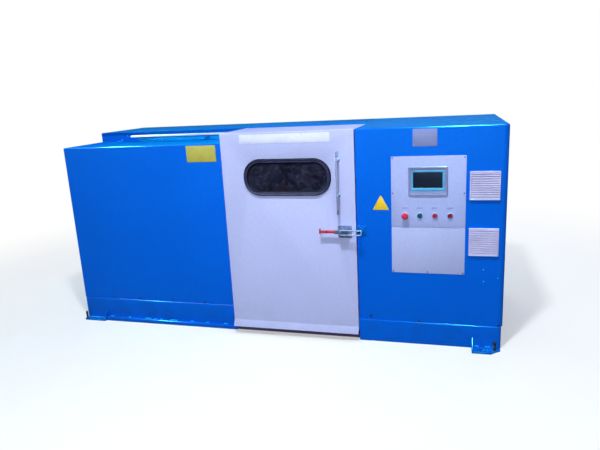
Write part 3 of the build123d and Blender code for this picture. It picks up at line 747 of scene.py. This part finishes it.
# ---------------------------------------------------------------------------
# door
# ---------------------------------------------------------------------------
DX0, DX1 = -1553.0, -783.0
outer = [(-41, 48.5), (-21.2, 84.8), (-20.3, 87.0), (-20, 89.5)] + [(-20, HGT - 3)] + arc(-17, HGT - 3, 3, 180, 90, 4)[1:] + [(412, HGT)]
inner = [(412, HGT - 4), (-15.2, HGT - 4), (-16, HGT - 4.8), (-16, 89.5), (-16.5, 86.8), (-17.2, 85.0), (-36.8, 48.5)]
bm = prism(outer + inner, "x", DX0, DX1)
door = new_object("door_sheet", bm, m_door, "door", smooth=28)
hole = new_object("cutter", prism(round_rect(-1407, -928, 873, 1053, 83, 14), "y", -40, 10), None, body=None)
mod = door.modifiers.new("window", "BOOLEAN")
mod.object, mod.operation, mod.solver = hole, "DIFFERENCE", "EXACT"
bpy.context.view_layer.update()
dg = bpy.context.evaluated_depsgraph_get()
cut = bpy.data.meshes.new_from_object(door.evaluated_get(dg))
door.modifiers.clear()
door.data = cut
bpy.data.objects.remove(hole)
bm = bmesh.new()
bm.from_mesh(cut)
bmesh.ops.remove_doubles(bm, verts=bm.verts, dist=1e-6)
es = [e for e in bm.edges if len(e.link_faces) == 2 and e.calc_face_angle(0) > math.radians(60)]
bevel_edges(bm, es, 0.9, 2)
bm.to_mesh(cut)
bm.free()
for p in cut.polygons:
    p.use_smooth = True
cut.set_sharp_from_angle(angle=math.radians(28))
# The lip's top faces get the painted-shade copy.
finish_faces(door, m_lip_painted_shade, lambda n, c: n.z > 0.95 and c[2] > 1200)
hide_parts("door_panel", "door_top_lip", "door_flare")

# window: moulded rubber frame round a smoked pane
wx0, wx1, wz0, wz1 = -1422, -913, 858, 1068
path = round_rect(wx0, wx1, wz0, wz1, 98, 16)
prof = [(0, -20), (0.3, -25), (1.6, -28.6), (4.2, -30.6), (7.2, -31), (9.6, -29.6), (10.8, -26.6), (12.2, -25.2),
        (14.2, -26.4), (17.0, -27.6), (20.5, -27.4), (24.2, -25.6), (26.8, -22.8), (28.0, -20)]
bm = ring_sweep(bmesh.new(), path, prof)
o = new_object("window_rubber", bm, m_rubber, "door", smooth=60)


def from_rim(c):
    """How far inside the rubber's outline a point lies."""
    dx = abs(c[0] - (wx0 + wx1) / 2) - ((wx1 - wx0) / 2 - 98)
    dz = abs(c[2] - (wz0 + wz1) / 2) - ((wz1 - wz0) / 2 - 98)
    return 98 - math.hypot(max(dx, 0), max(dz, 0)) - min(max(dx, dz), 0)


# Painted highlight on the seal's lower inner band.
finish_faces(o, m_rubber_painted_highlight, lambda n, c: c[2] < wz0 + 21.5 and 9.0 < from_rim(c) < 21.5)
# Painted shade on the seal's outer and inner rims.
finish_faces(o, m_rim_painted_shade, lambda n, c: from_rim(c) < 4.6 or from_rim(c) > 21.5)
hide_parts("window_seal")
bm = bmesh.new()
plate_y(bm, round_rect(wx0 + 16, wx1 - 16, wz0 + 16, wz1 - 16, 82, 12), -19.6, -14, 0.8)
o = new_object("window_pane", bm, m_glass, "door")
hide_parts("window_glass")

# blank strip above the window
bm = bmesh.new()
plate_y(bm, round_rect(-1435, -914, 1153, 1205, 5, 4), -21.2, -20, 0.4)
o = new_object("blank_strip", bm, m_white, "door")
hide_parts("white_strip")

# handle: drawn bar with a rounded face, two stand-off posts on round feet and worn end screws
bm = bmesh.new()
bar = [(-869.5 - 6.5 + 6.5 * math.cos(a), -46.5 - 3.5 * math.sin(a)) for a in [math.pi * k / 10 for k in range(11)]] + [(-882.5, -45), (-869.5, -45)]
part = prism(bar, "z", 757, 1103)
bevel_edges(part, [e for e in part.edges if all(abs(v.co.z - 1.103) < 1e-5 for v in e.verts) or all(abs(v.co.z - 0.757) < 1e-5 for v in e.verts)], 1.0, 2)
merge(bm, part)
for hz in (862, 1055):
    merge(bm, turned([(0, 0), (10.5, 0), (10.5, 2.6), (7, 5), (6, 8), (6, 26), (0, 26)], 24), place(None, "-y", -873, -20, hz))
    merge(bm, button_screw(4.6, 2.6), place(None, "-y", -876, -49.6, hz))
o = new_object("pull_handle", bm, m_stain, "door")
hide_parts("door_handle")
bm = bmesh.new()
for hz in (766, 778, 1079, 1095):
    merge(bm, button_screw(3.6, 1.6), place(None, "-y", -876, -49.4, hz))
o = new_object("handle_end_screws", bm, m_bolt, "door")

# ---------------------------------------------------------------------------
# latch
# ---------------------------------------------------------------------------
ZL = 658.0
bm = bmesh.new()
plate_y(bm, round_rect(-884, -806, 620, 690, 5, 4), -24, -20, 0.9)
for ez in (641, 671):
    ear = [(-862, -24), (-862, -46)] + [(p[0], p[1]) for p in arc(-852, -46, 10, 180, 270, 5)] \
        + [(p[0], p[1]) for p in arc(-832, -46, 10, 270, 360, 5)] + [(-822, -24)]
    merge(bm, prism(ear, "z", ez, ez + 4))
merge(bm, turned([(0, -2), (6, -2), (6.2, -0.5), (4, 0), (4, 38), (6.2, 38.5), (6, 40), (0, 40)], 20), place(None, "z", -842, -46, 639))
o = new_object("latch_plate", bm, m_plate, "door")
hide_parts("latch_base")
bm = bmesh.new()
for sx, sz in ((-876, 628), (-814, 628), (-876, 682), (-814, 682)):
    merge(bm, button_screw(4.4, 2.8), place(None, "-y", sx, -24, sz))
o = new_object("latch_plate_screws", bm, m_chrome, "door")

bm = bmesh.new()
# lever: folded channel with a web in front and two side cheeks
add_box(bm, -898, -852, -52, -48.5, ZL - 9, ZL + 9, 0.8)
for s in (-1, 1):
    z0, z1 = (ZL - 9, ZL - 6) if s < 0 else (ZL + 6, ZL + 9)
    side = [(-898, -52), (-898, -42)] + [(-856, -40)] + arc(-842, -46, 8, 60, -60, 6) + [(-852, -52)]
    merge(bm, prism(side, "z", z0, z1))
lug = [(-874, -51), (-874, -60)] + arc(-866, -62, 7, 180, 360, 8) + [(-858, -60), (-858, -51)]
for z0 in (ZL - 8, ZL + 4):
    merge(bm, prism(lug, "z", z0, z0 + 4))
o = new_object("latch_lever_channel", bm, m_plate, "latch_handle")
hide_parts("latch_lever")

bm = bmesh.new()
grip = round_rect(-54, -40, ZL - 6, ZL + 8, 4.5, 4)
merge(bm, prism(grip, "x", -980, -896))
for k in range(8):
    x = -968 + k * 8.5
    merge(bm, prism(round_rect(-54.6, -39.4, ZL - 6.6, ZL + 8.6, 5.0, 4), "x", x - 1.5, x + 1.5))
add_box(bm, -986, -979, -55, -38, ZL - 11, ZL + 19, 2.4, 3)
o = new_object("latch_red_grip", bm, m_redgrip, "latch_handle")
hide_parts("latch_grip")

bm = bmesh.new()
zt, zb = ZL + 12.5, ZL - 12.5
loop = [(-866, -62, zb + 4)] + [(-862 - 4 * math.cos(math.radians(a)), -62, zb + 4 - 4 * math.sin(math.radians(a))) for a in (30, 60, 90)]
loop += [(x, -62, zb) for x in (-840, -800, -760)]
loop += [(-751 - 6 + 6 * math.sin(math.radians(a)) + 3, -62, zb + 6 - 6 * math.cos(math.radians(a))) for a in (15, 35, 55, 75, 90)]
mirror = [(x, y, 2 * ZL - z) for x, y, z in loop][::-1]
full = loop + [(-748, -62, ZL)] + mirror
full = [(min(x, -748), y, z) for x, y, z in full]
tube(bm, full, 3.0, 12)
merge(bm, turned([(0, 0), (3.0, 0), (3.0, 31), (0, 31)], 14), place(None, "z", -866, -62, ZL - 15.5))
for zz in (zb, zt):
    for x in (-812, -802):
        merge(bm, hex_head(8.0, 4.0), place(None, "x", x, -62, zz))
o = new_object("latch_hook_rod", bm, m_zinc, "latch_loop", smooth=50)
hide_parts("latch_hook")

# catch: blue painted plate whose lighter cyan and bright edges are painted glints, with a nose and screws whose blue
# tint is a painted reflection
bm = bmesh.new()
plate_y(bm, round_rect(-778, -730, 630, 686, 5, 4), -4, 0, 0.9)
nose = [(-768, -4), (-768, -46)] + arc(-765, -49, 3, 180, 270, 3)[1:] + [(-762, -52), (-762, -30), (-752, -14), (-738, -10), (-738, -4)]
merge(bm, prism(nose, "z", ZL - 5, ZL + 5))
o = new_object("latch_keeper", bm, m_foot_painted_glint, "housing")
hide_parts("latch_catch")
bm = bmesh.new()
add_box(bm, -768, -762, -52, -4.2, ZL - 9, ZL + 9, 1.0)
for sx, sz in ((-771, 637), (-737, 637), (-771, 679), (-737, 679)):
    merge(bm, button_screw(4.0, 2.8), place(None, "-y", sx, -4, sz))
o = new_object("latch_keeper_nose", bm, m_keeper_painted_reflection, "housing")

# ---------------------------------------------------------------------------
# control panel
# ---------------------------------------------------------------------------
bm = bmesh.new()
plate_y(bm, round_rect(-590, -205, 680.5, 1065, 4, 3), -3, 0, 0.9)
plate_y(bm, round_rect(-590, -205, 422, 679.7, 4, 3), -3, 0, 0.9)
o = new_object("panel_plates", bm, m_panel)
drill = bmesh.new()
for x, r in ((-517.0, 11.0), (-439.0, 13.0), (-361.0, 13.0), (-283.0, 13.0)):
    merge(drill, turned([(0, 0), (r, 0), (r, 8), (0, 8)], 32), place(None, "-y", x, 3, 747.0))
hole = new_object("panel_cutter", drill, None, body=None)
mod = o.modifiers.new("button_holes", "BOOLEAN")
mod.object, mod.operation, mod.solver = hole, "DIFFERENCE", "EXACT"
bpy.context.view_layer.update()
cut = bpy.data.meshes.new_from_object(o.evaluated_get(bpy.context.evaluated_depsgraph_get()))
o.modifiers.clear()
o.data = cut
bpy.data.objects.remove(hole)
for p in cut.polygons:
    p.use_smooth = True
cut.set_sharp_from_angle(angle=math.radians(30))
# Lower plate faces get the painted-light copy.
finish_faces(o, m_panel_low_painted_light, lambda n, c: c[2] < 680.1)
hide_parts("control_panel")
bm = bmesh.new()
for sx, sz in ((-582, 1056), (-213, 1056), (-582, 868), (-213, 868), (-582, 430), (-397.5, 430), (-213, 430)):
    merge(bm, button_screw(4.2, 2.4), place(None, "-y", sx, -3, sz))
o = new_object("panel_screws", bm, m_screw)

hx0, hx1, hz0, hz1 = -500.5, -296.5, 854.0, 1009.0
rx0, rx1, rz0, rz1 = -484.4, -312.6, 880.6, 990.4


def inset(d, r, y, box=(hx0, hx1, hz0, hz1)):
    return (box[0] + d, box[1] - d, box[2] + d, box[3] - d, r, y)


bm = bmesh.new()
loft_rings(bm, [inset(0, 6, -3), inset(0, 6, -7.4), inset(0.7, 5.4, -9.0), inset(2.2, 4.2, -10), inset(5.2, 3.2, -10),
                inset(6.6, 2.8, -9.3), inset(7.2, 2.6, -8.9),
                inset(-1.2, 3.0, -8.9, (rx0, rx1, rz0, rz1)), inset(-0.3, 2.2, -8.4, (rx0, rx1, rz0, rz1)),
                inset(0, 2.0, -7.6, (rx0, rx1, rz0, rz1)), inset(0, 2.0, -3, (rx0, rx1, rz0, rz1))])
o = new_object("hmi_bezel", bm, m_grey, smooth=40)
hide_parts("touch_screen_bezel")
sx0, sx1, sz0, sz1 = -474.8, -323.0, 897.5, 981.0
bm = bmesh.new()
loft_rings(bm, [inset(0.15, 1.8, -3, (rx0, rx1, rz0, rz1)), inset(0.15, 1.8, -8.8, (rx0, rx1, rz0, rz1)),
                inset(0.9, 1.4, -9.2, (rx0, rx1, rz0, rz1)), inset(-0.8, 1.6, -9.2, (sx0, sx1, sz0, sz1)),
                inset(0, 1.2, -8.6, (sx0, sx1, sz0, sz1)), inset(0, 1.2, -3, (sx0, sx1, sz0, sz1))])
o = new_object("screen_frame", bm, m_cyan, smooth=40)
bm = bmesh.new()
plate_y(bm, round_rect(sx0 + 0.1, sx1 - 0.1, sz0 + 0.1, sz1 - 0.1, 1.1, 3), -8.3, -4, 0.3)
o = new_object("screen_face", bm, m_screen)
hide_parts("touch_screen")

bx = (-517.0, -439.0, -361.0, -283.0)
BZ = 747.0
bm = bmesh.new()
for x in bx:
    r0 = 10.6 if x == bx[0] else 13.0
    merge(bm, turned([(r0, 0), (16, 0), (16, 2), (15.4, 4.5), (14.6, 6), (r0 + 0.6, 6), (r0, 5), (r0, 0)], 32), place(None, "-y", x, -3, BZ))
o = new_object("button_rings", bm, m_zinc, smooth=45)
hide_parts("button_bezels")
bm = bmesh.new()
merge(bm, turned([(0, 0), (10, 0), (10, 12), (17.5, 13.5), (19, 17), (18.6, 22), (16.5, 25.2), (12.0, 27.1), (6.0, 28.0), (0, 28.2)], 36), place(None, "-y", bx[0], -5.4, BZ))
o = new_object("stop_head", bm, m_stop, "stop_mushroom", smooth=50)
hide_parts("emergency_stop")
for x, nm, node, body, mt, sl in ((bx[1], "green_cap", "green_button", "green_push", m_green, "green_plastic"),
                                  (bx[2], "red_cap", "red_button", "red_push", m_red, "red_plastic"),
                                  (bx[3], "dark_red_cap", "dark_red_button", "dark_red_push", m_dred, "dark_red_plastic")):
    bm = bmesh.new()
    merge(bm, turned([(0, 0), (12.4, 0), (12.4, 6.8), (11.6, 7.9), (9.6, 8.4), (8.4, 8.0), (0, 7.8)], 32), place(None, "-y", x, -4.6, BZ))
    o = new_object(nm, bm, mt, body, smooth=50)
    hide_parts(node)
bm = bmesh.new()
for x in bx:
    plate_y(bm, round_rect(x - 17, x + 17, 784, 796, 2, 3), -3.8, -3, 0.3)
o = new_object("blank_legend_plates", bm, m_legend)

# ---------------------------------------------------------------------------
# ventilation grilles
# ---------------------------------------------------------------------------
for node, z0 in (("upper_vent", 832.0), ("lower_vent", 531.0)):
    x0, x1, z1 = -187.0, -37.0, z0 + 150
    bm = bmesh.new()
    ring_sweep(bm, round_rect(x0, x1, z0, z1, 3, 4), [(0, 0), (0, -9), (1.2, -11.4), (2.4, -12), (4.2, -12), (5.0, -11.2), (5.2, -9.5), (5.2, 0)])
    n = 12
    pitch = 141.0 / n
    for k in range(n):
        zc = z0 + 4.5 + (k + 0.5) * pitch
        slat = [(-11.6, zc - 3.6), (-11.6, zc - 1.2), (-10.9, zc + 1.0), (-6.4, zc + 4.2), (-2.8, zc + 4.8), (-2.8, zc + 3.4), (-6.0, zc + 2.4),
                (-9.6, zc - 0.4), (-10.2, zc - 3.6)]
        merge(bm, prism(slat, "x", x0 + 4, x1 - 4))
    o = new_object(node + "_grille", bm, m_vent, smooth=35)
    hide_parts(node)
    # Dark filter behind the slats: partly grime, partly painted shade in the gaps.
    bm = bmesh.new()
    add_box(bm, x0 + 5, x1 - 5, -2.4, -0.4, z0 + 5, z1 - 5)
    o = new_object(node + "_filter", bm, m_filter_painted_shade)

# ---------------------------------------------------------------------------
# blank plates
# ---------------------------------------------------------------------------
bm = bmesh.new()
plate_y(bm, round_rect(-476, -352, 1115, 1205, 4, 4), -1.2, 0, 0.4)
for sx, sz in ((-470, 1121), (-358, 1121), (-470, 1199), (-358, 1199)):
    merge(bm, turned([(0, 0), (2.4, 0), (2.0, 0.25), (0, 0.3)], 14), place(None, "-y", sx, -1.2, sz))
o = new_object("blank_rating_plate", bm, m_silver)
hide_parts("blank_nameplate")
bm = bmesh.new()
plate_y(bm, round_rect(-1801, -1612, 1050, 1147, 4, 4), 38.8, 40, 0.4)
o = new_object("blank_yellow_plate", bm, m_yellow)
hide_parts("yellow_plate")
r = 2.6
tri = []
for (cx, cz), a0 in (((-647, 858 - 2 * r), 30), ((-692 + r * 1.75, 776 + r), 150), ((-602 - r * 1.75, 776 + r), 270)):
    tri += arc(cx, cz, r, a0, a0 + 120, 5)
bm = bmesh.new()
plate_y(bm, tri, -1.2, 0, 0.4)
o = new_object("blank_triangle", bm, m_yellow2)
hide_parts("triangle_plate")

# ---------------------------------------------------------------------------
# feet and levelling bolts
# ---------------------------------------------------------------------------
def foot_mesh(bm, mx, my, reach, wall, pts, hy):
    cxm = -LEN / 2
    cym = DEP / 2

    def f(x, y):
        if mx < 0:
            x = 2 * cxm - x
        if my > 0:
            y = 2 * cym - y
        return x, y
    # plate with an anchor hole: outline joined to a ring of the hole
    part = bmesh.new()
    rows = {}
    for z in (0.0, 10.0):
        rows[z] = ([part.verts.new(V(*f(x, y), z)) for x, y in pts],
                   [part.verts.new(V(*f(-112 + 9 * math.cos(a), hy + 9 * math.sin(a)), z)) for a in [2 * math.pi * k / 24 for k in range(24)]])
    for z in (0.0, 10.0):
        out, ring = rows[z]
        es = [part.edges.new((out[i], out[(i + 1) % len(out)])) for i in range(len(out))]
        es += [part.edges.new((ring[i], ring[(i + 1) % 24])) for i in range(24)]
        bmesh.ops.triangle_fill(part, edges=es, use_beauty=True)
    for i in range(len(pts)):
        j = (i + 1) % len(pts)
        part.faces.new((rows[0.0][0][i], rows[0.0][0][j], rows[10.0][0][j], rows[10.0][0][i]))
    for i in range(24):
        j = (i + 1) % 24
        part.faces.new((rows[0.0][1][i], rows[0.0][1][j], rows[10.0][1][j], rows[10.0][1][i]))
    bmesh.ops.recalc_face_normals(part, faces=part.faces)
    zt = 0.010
    es = [e for e in part.edges if all(abs(v.co.z - zt) < 1e-6 for v in e.verts) and len(e.link_faces) == 2
          and any(abs(fc.normal.z) < 0.5 for fc in e.link_faces)]
    bevel_edges(part, es, 1.6, 3)
    merge(bm, part)
    gus = bmesh.new()
    side = [(-160, wall, 9.5), (-160, reach + 1.5, 9.5), (-160, reach + 1.5, 13), (-160, wall - 6, 62), (-160, wall, 62)]
    lo = [gus.verts.new(V(*f(x, y), z)) for x, y, z in side]
    hi = [gus.verts.new(V(*f(x + 8, y), z)) for x, y, z in side]
    gus.faces.new(lo); gus.faces.new(hi[::-1])
    for i in range(len(lo)):
        gus.faces.new((lo[i], lo[(i + 1) % len(lo)], hi[(i + 1) % len(lo)], hi[i]))
    bmesh.ops.recalc_face_normals(gus, faces=gus.faces)
    bevel_edges(gus, list(gus.edges), 0.9, 2)
    merge(bm, gus)


FRONT = [(-160, -74), (-62, -74), (-10, -26), (-10, -5.5), (-160, -5.5)]
REAR = [(-160, -74), (-62, -74), (-10, -26), (-10, 3.5), (-160, 3.5)]
LEFT = [(-160, 0), (-6, 0), (0, 6), (0, 33.5), (-160, 33.5)]
bm = bmesh.new()
foot_mesh(bm, 1, -1, -74, -5.5, FRONT, -38.75)
foot_mesh(bm, -1, -1, 0.0, 33.5, LEFT, 13.75)
foot_mesh(bm, 1, 1, -74, 3.5, REAR, -38.25)
foot_mesh(bm, -1, 1, -74, 3.5, REAR, -38.25)
# Foot plates in the painted-glint blue.
o = new_object("foot_plates", bm, m_foot_painted_glint)
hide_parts("floor_feet")
# Spatter on the foot, pale cyan as painted glints.
bm = bmesh.new()
for k, (x, y) in enumerate(((-97, -47), (-78, -44))):
    merge(bm, turned([(0, -1), (4.6, -1), (4.4, 0.6), (3.0, 1.9), (1.2, 2.5), (0, 2.6)], 12), place(None, "z", x, y, 10, 0.4 * k))
o = new_object("foot_spatter", bm, m_weld_painted_glint, smooth=70)

bolts = {"levelling_bolt_set": (m_black_bolt, ((-42, -34, 0),)),
         "levelling_bolts_rusty": (m_rust, ((-LEN + 9, 18, 1), (-42, DEP + 34, 0), (-LEN + 42, DEP + 34, 0)))}
for nm, (mt, spots) in bolts.items():
    bm = bmesh.new()
    for x, y, small in spots:
        af = 13.6 if small else 19.0
        merge(bm, hex_head(af, 11.6), place(None, "z", x, y, 10, 0.3))
        prof = [(0, 0), (6.4, 0)]
        z = 11.6
        while z < 34:
            prof += [(6.4, z), (7.1, z + 0.8), (6.4, z + 1.6)]
            z += 1.6
        prof += [(6.4, 35.2), (0, 35.2)]
        merge(bm, turned(prof, 16), place(None, "z", x, y, 10))
        merge(bm, hex_head(af, 9.6), place(None, "z", x, y, 45, 0.75))
    o = new_object(nm, bm, mt)
    if nm == "levelling_bolt_set":
        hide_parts("levelling_bolts")

# ---------------------------------------------------------------------------
# bolts and screws of the housing, as one joined mesh per finish
# ---------------------------------------------------------------------------
bm = bmesh.new()
for x, z in ((-2436, 168), (-2242, 168), (-2009, 163), (-1777, 158)):
    merge(bm, button_screw(6.5, 3.6), place(None, "-y", x, 40, z))
for x, z in ((-715, 153), (-446, 138), (-238, 137)):
    merge(bm, button_screw(6.0, 3.4), place(None, "-y", x, 0, z))
merge(bm, button_screw(6.0, 3.2), place(None, "-y", -25, 0.3, 141))
o = new_object("front_bolts", bm, m_bolt)
bm = bmesh.new()
for x, z, r in ((-108, 452, 3.4), (-106, 387, 4.2), (-34, 408, 3.4)):
    merge(bm, turned([(0, -0.5), (r, -0.5), (r, 0.8), (r * 0.8, 1.8), (r * 0.4, 2.4), (0, 2.6)], 16), place(None, "-y", x, 0, z))
for x, z, r in ((-2455, 1192, 4.5), (-2500, 1164, 4.5)):
    merge(bm, turned([(0, -0.5), (r, -0.5), (r, 1.2), (r * 0.8, 2.4), (r * 0.4, 3.0), (0, 3.2)], 16), place(None, "-y", x, 456, z))
# Rivet heads in pale cyan, a painted glint.
o = new_object("rivets_with_painted_glint", bm, m_rivet_painted_glint, smooth=60)
bm = bmesh.new()
for x in (-2630, -2390, -2150, -1910, -1670, -1571, -1509, -1330, -1150, -970, -811, -750, -560, -380, -200, -30):
    top = 1182 if x < XS else 1170
    for z in (160, 665, top):
        merge(bm, hex_head(10.0, 3.6, washer=8.0), place(None, "y", x, DEP, z, 0.2 * (x % 7)))
for y in (120, 380, 640, 900):
    for z in (165, 1130):
        merge(bm, hex_head(10.0, 3.6, washer=8.0), place(None, "-x", XL, y, z, 0.17 * (y % 5)))
        merge(bm, hex_head(10.0, 3.6, washer=8.0), place(None, "x", 0, y, z, 0.17 * (y % 5)))
o = new_object("panel_bolts", bm, m_bolt_blue)
bm = bmesh.new()
for x, z in ((-2338, 1163), (-2314, 1165), (-2262, 1167), (-2205, 1164), (-2188, 1166)):
    merge(bm, button_screw(4.6, 3.0), place(None, "-y", x, 456, z))
o = new_object("wall_screws", bm, m_chrome)

# ---------------------------------------------------------------------------
# interior and hidden parts keep their shapes and get their finish
# ---------------------------------------------------------------------------
cad_finish = {"door_cheeks": m_door, "guide_shoes": m_nylon, "door_wheels": m_dark, "rail_brackets": m_blue,
              "chamber_floor": m_inside, "rotor_discs": m_dark, "flyer_bows": m_dark, "bobbin_shaft": m_stain}
for n, mt in cad_finish.items():
    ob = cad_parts[n]
    ob.data.materials.clear()
    ob.data.materials.append(mt)

bm = bmesh.new()
outline = [(30.2, 0), (264, 0), (272, 1.2), (277, 5), (278, 10), (277, 15), (272, 18.8), (264, 20), (200, 20), (196, 16), (150, 16), (140, 20),
           (140, 340), (150, 344), (196, 344), (200, 340), (264, 340), (272, 341.2), (277, 345), (278, 350), (277, 355), (272, 358.8), (264, 360), (30.2, 360), (30.2, 0)]
merge(bm, turned(outline, 72), place(None, "y", -1200, 340, 640))
# Bobbin in the dust-and-painted-shade red.
o = new_object("bobbin_body", bm, m_bobbin_dust_and_shade, smooth=40)
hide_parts("bobbin")
bm = bmesh.new()
plate_y(bm, round_rect(-1368, -1262, 806, 854, 20, 6), 333, 341, 1.5)
o = new_object("bobbin_lug", bm, m_cap, smooth=40)

# ---------------------------------------------------------------------------
# stage: floor, light
# ---------------------------------------------------------------------------
def floor_material():
    """Pale floor: bright and diffuse near the machine, fading into the white background far away."""
    t = Tree("floor_pale")
    col = t.mix(t.noise(0.8, 3.0), (0.560, 0.565, 0.575), (0.535, 0.540, 0.550))
    t.finish(col, 0.8, Specular_IOR_Level=0.1)
    base = t.node("ShaderNodeEmission")
    base.inputs["Color"].default_value = (0.98, 0.985, 1.0, 1)
    base.inputs["Strength"].default_value = 0.38
    add = t.node("ShaderNodeAddShader")
    t.nt.links.new(t.bsdf.outputs[0], add.inputs[0])
    t.nt.links.new(base.outputs[0], add.inputs[1])
    d = t.node("ShaderNodeVectorMath")
    d.operation = "LENGTH"
    t.put(d.inputs[0], t.coord)
    far = t.ramp(d.outputs["Value"], 1.7, 4.2)
    glow = t.node("ShaderNodeEmission")
    glow.inputs["Color"].default_value = (1, 1, 1, 1)
    glow.inputs["Strength"].default_value = 1.0
    mix = t.node("ShaderNodeMixShader")
    t.put(mix.inputs[0], far)
    t.nt.links.new(add.outputs[0], mix.inputs[1])
    t.nt.links.new(glow.outputs[0], mix.inputs[2])
    t.nt.links.new(mix.outputs[0], t.out.inputs[0])
    return t.mat


bm = bmesh.new()
bmesh.ops.create_grid(bm, x_segments=1, y_segments=1, size=40.0)
floor = new_object("studio_floor", bm, floor_material(), body=None)
floor.location.z = -0.0005
floor.visible_glossy = False
floor.visible_diffuse = False

world = bpy.data.worlds.new("world")
sc.world = world
world.use_nodes = True
wt = world.node_tree
wt.nodes.clear()
w_out = wt.nodes.new("ShaderNodeOutputWorld")
coord = wt.nodes.new("ShaderNodeTexCoord")
xyz = wt.nodes.new("ShaderNodeSeparateXYZ")
wt.links.new(coord.outputs["Generated"], xyz.inputs[0])


def w_ramp(src, lo, hi, a, b):
    m = wt.nodes.new("ShaderNodeMapRange")
    m.interpolation_type = "SMOOTHSTEP"
    for k, v in (("From Min", lo), ("From Max", hi), ("To Min", a), ("To Max", b)):
        m.inputs[k].default_value = v
    wt.links.new(src, m.inputs["Value"])
    return m.outputs[0]


def w_math(op, a, b):
    m = wt.nodes.new("ShaderNodeMath")
    m.operation = op
    for k, v in enumerate((a, b)):
        if isinstance(v, float):
            m.inputs[k].default_value = v
        else:
            wt.links.new(v, m.inputs[k])
    return m.outputs[0]


def w_mix(fac, a, b):
    m = wt.nodes.new("ShaderNodeMix")
    m.data_type = "RGBA"
    wt.links.new(fac, m.inputs[0])
    for k, v in ((6, a), (7, b)):
        if isinstance(v, tuple):
            m.inputs[k].default_value = (*v, 1.0)
        else:
            wt.links.new(v, m.inputs[k])
    return m.outputs[2]


# a dim soft room: brighter overhead than below, with a darker wall behind the machine
upness = w_ramp(xyz.outputs[2], -0.08, 0.10, 0.0, 1.0)
room = w_mix(upness, (0.150, 0.158, 0.180), (0.270, 0.285, 0.315))
rear = w_math("MULTIPLY", w_ramp(xyz.outputs[1], 0.35, 0.80, 0.0, 1.0), w_ramp(xyz.outputs[2], 0.38, 0.75, 1.0, 0.0))
room = w_mix(rear, room, (0.055, 0.300, 0.470))
path_node = wt.nodes.new("ShaderNodeLightPath")
cool = wt.nodes.new("ShaderNodeMix")
cool.data_type, cool.blend_type = "RGBA", "MULTIPLY"
cool.inputs[0].default_value = 1.0
wt.links.new(room, cool.inputs[6])
cool.inputs[7].default_value = (0.30, 0.90, 1.15, 1.0)
room = w_mix(path_node.outputs["Is Glossy Ray"], room, cool.outputs[2])
soft = wt.nodes.new("ShaderNodeBackground")
wt.links.new(room, soft.inputs["Color"])
soft.inputs["Strength"].default_value = 1.0
seen = wt.nodes.new("ShaderNodeBackground")
seen.inputs["Color"].default_value = (1, 1, 1, 1)
seen.inputs["Strength"].default_value = 1.0
both = wt.nodes.new("ShaderNodeMixShader")
wt.links.new(path_node.outputs["Is Camera Ray"], both.inputs[0])
wt.links.new(soft.outputs[0], both.inputs[1])
wt.links.new(seen.outputs[0], both.inputs[2])
wt.links.new(both.outputs[0], w_out.inputs[0])


def area(name, loc, target, size, energy, color=(1, 1, 1)):
    d = bpy.data.lights.new(name, "AREA")
    d.shape, d.size, d.energy, d.color = "RECTANGLE", size[0], energy, color
    d.size_y = size[1]
    o = bpy.data.objects.new(name, d)
    sc.collection.objects.link(o)
    o.location = loc
    o.rotation_mode = "QUATERNION"
    o.rotation_quaternion = (Vector(target) - Vector(loc)).to_track_quat("-Z", "Y")
    return o


softbox = area("front_softbox", (0.2, -5.5, 1.9), (0.0, -0.49, 0.7), (5.0, 2.0), 125.0, (0.96, 0.98, 1.0))
key = area("key", (0.5, -2.15, 4.0), (0.2, -0.5, 0.6), (0.30, 0.30), 120.0)
back = area("back", (0.5, 3.8, 3.2), (0, 0.3, 0.6), (4.0, 1.5), 120.0, (0.96, 0.98, 1.0))
for lamp in (softbox, key, back):
    lamp.visible_glossy = False
# small cool lamps for the glints on folded edges and beads
for name, loc, size, power in (("glint_right", (1.23, -1.0, 3.3), 0.14, 420.0), ("glint_left", (-2.5, -1.0, 3.0), 0.20, 520.0)):
    lamp = area(name, loc, (loc[0] * 0.5, -0.4, 0.6), (size, size), power, (0.32, 0.90, 1.0))
    lamp.visible_diffuse = False
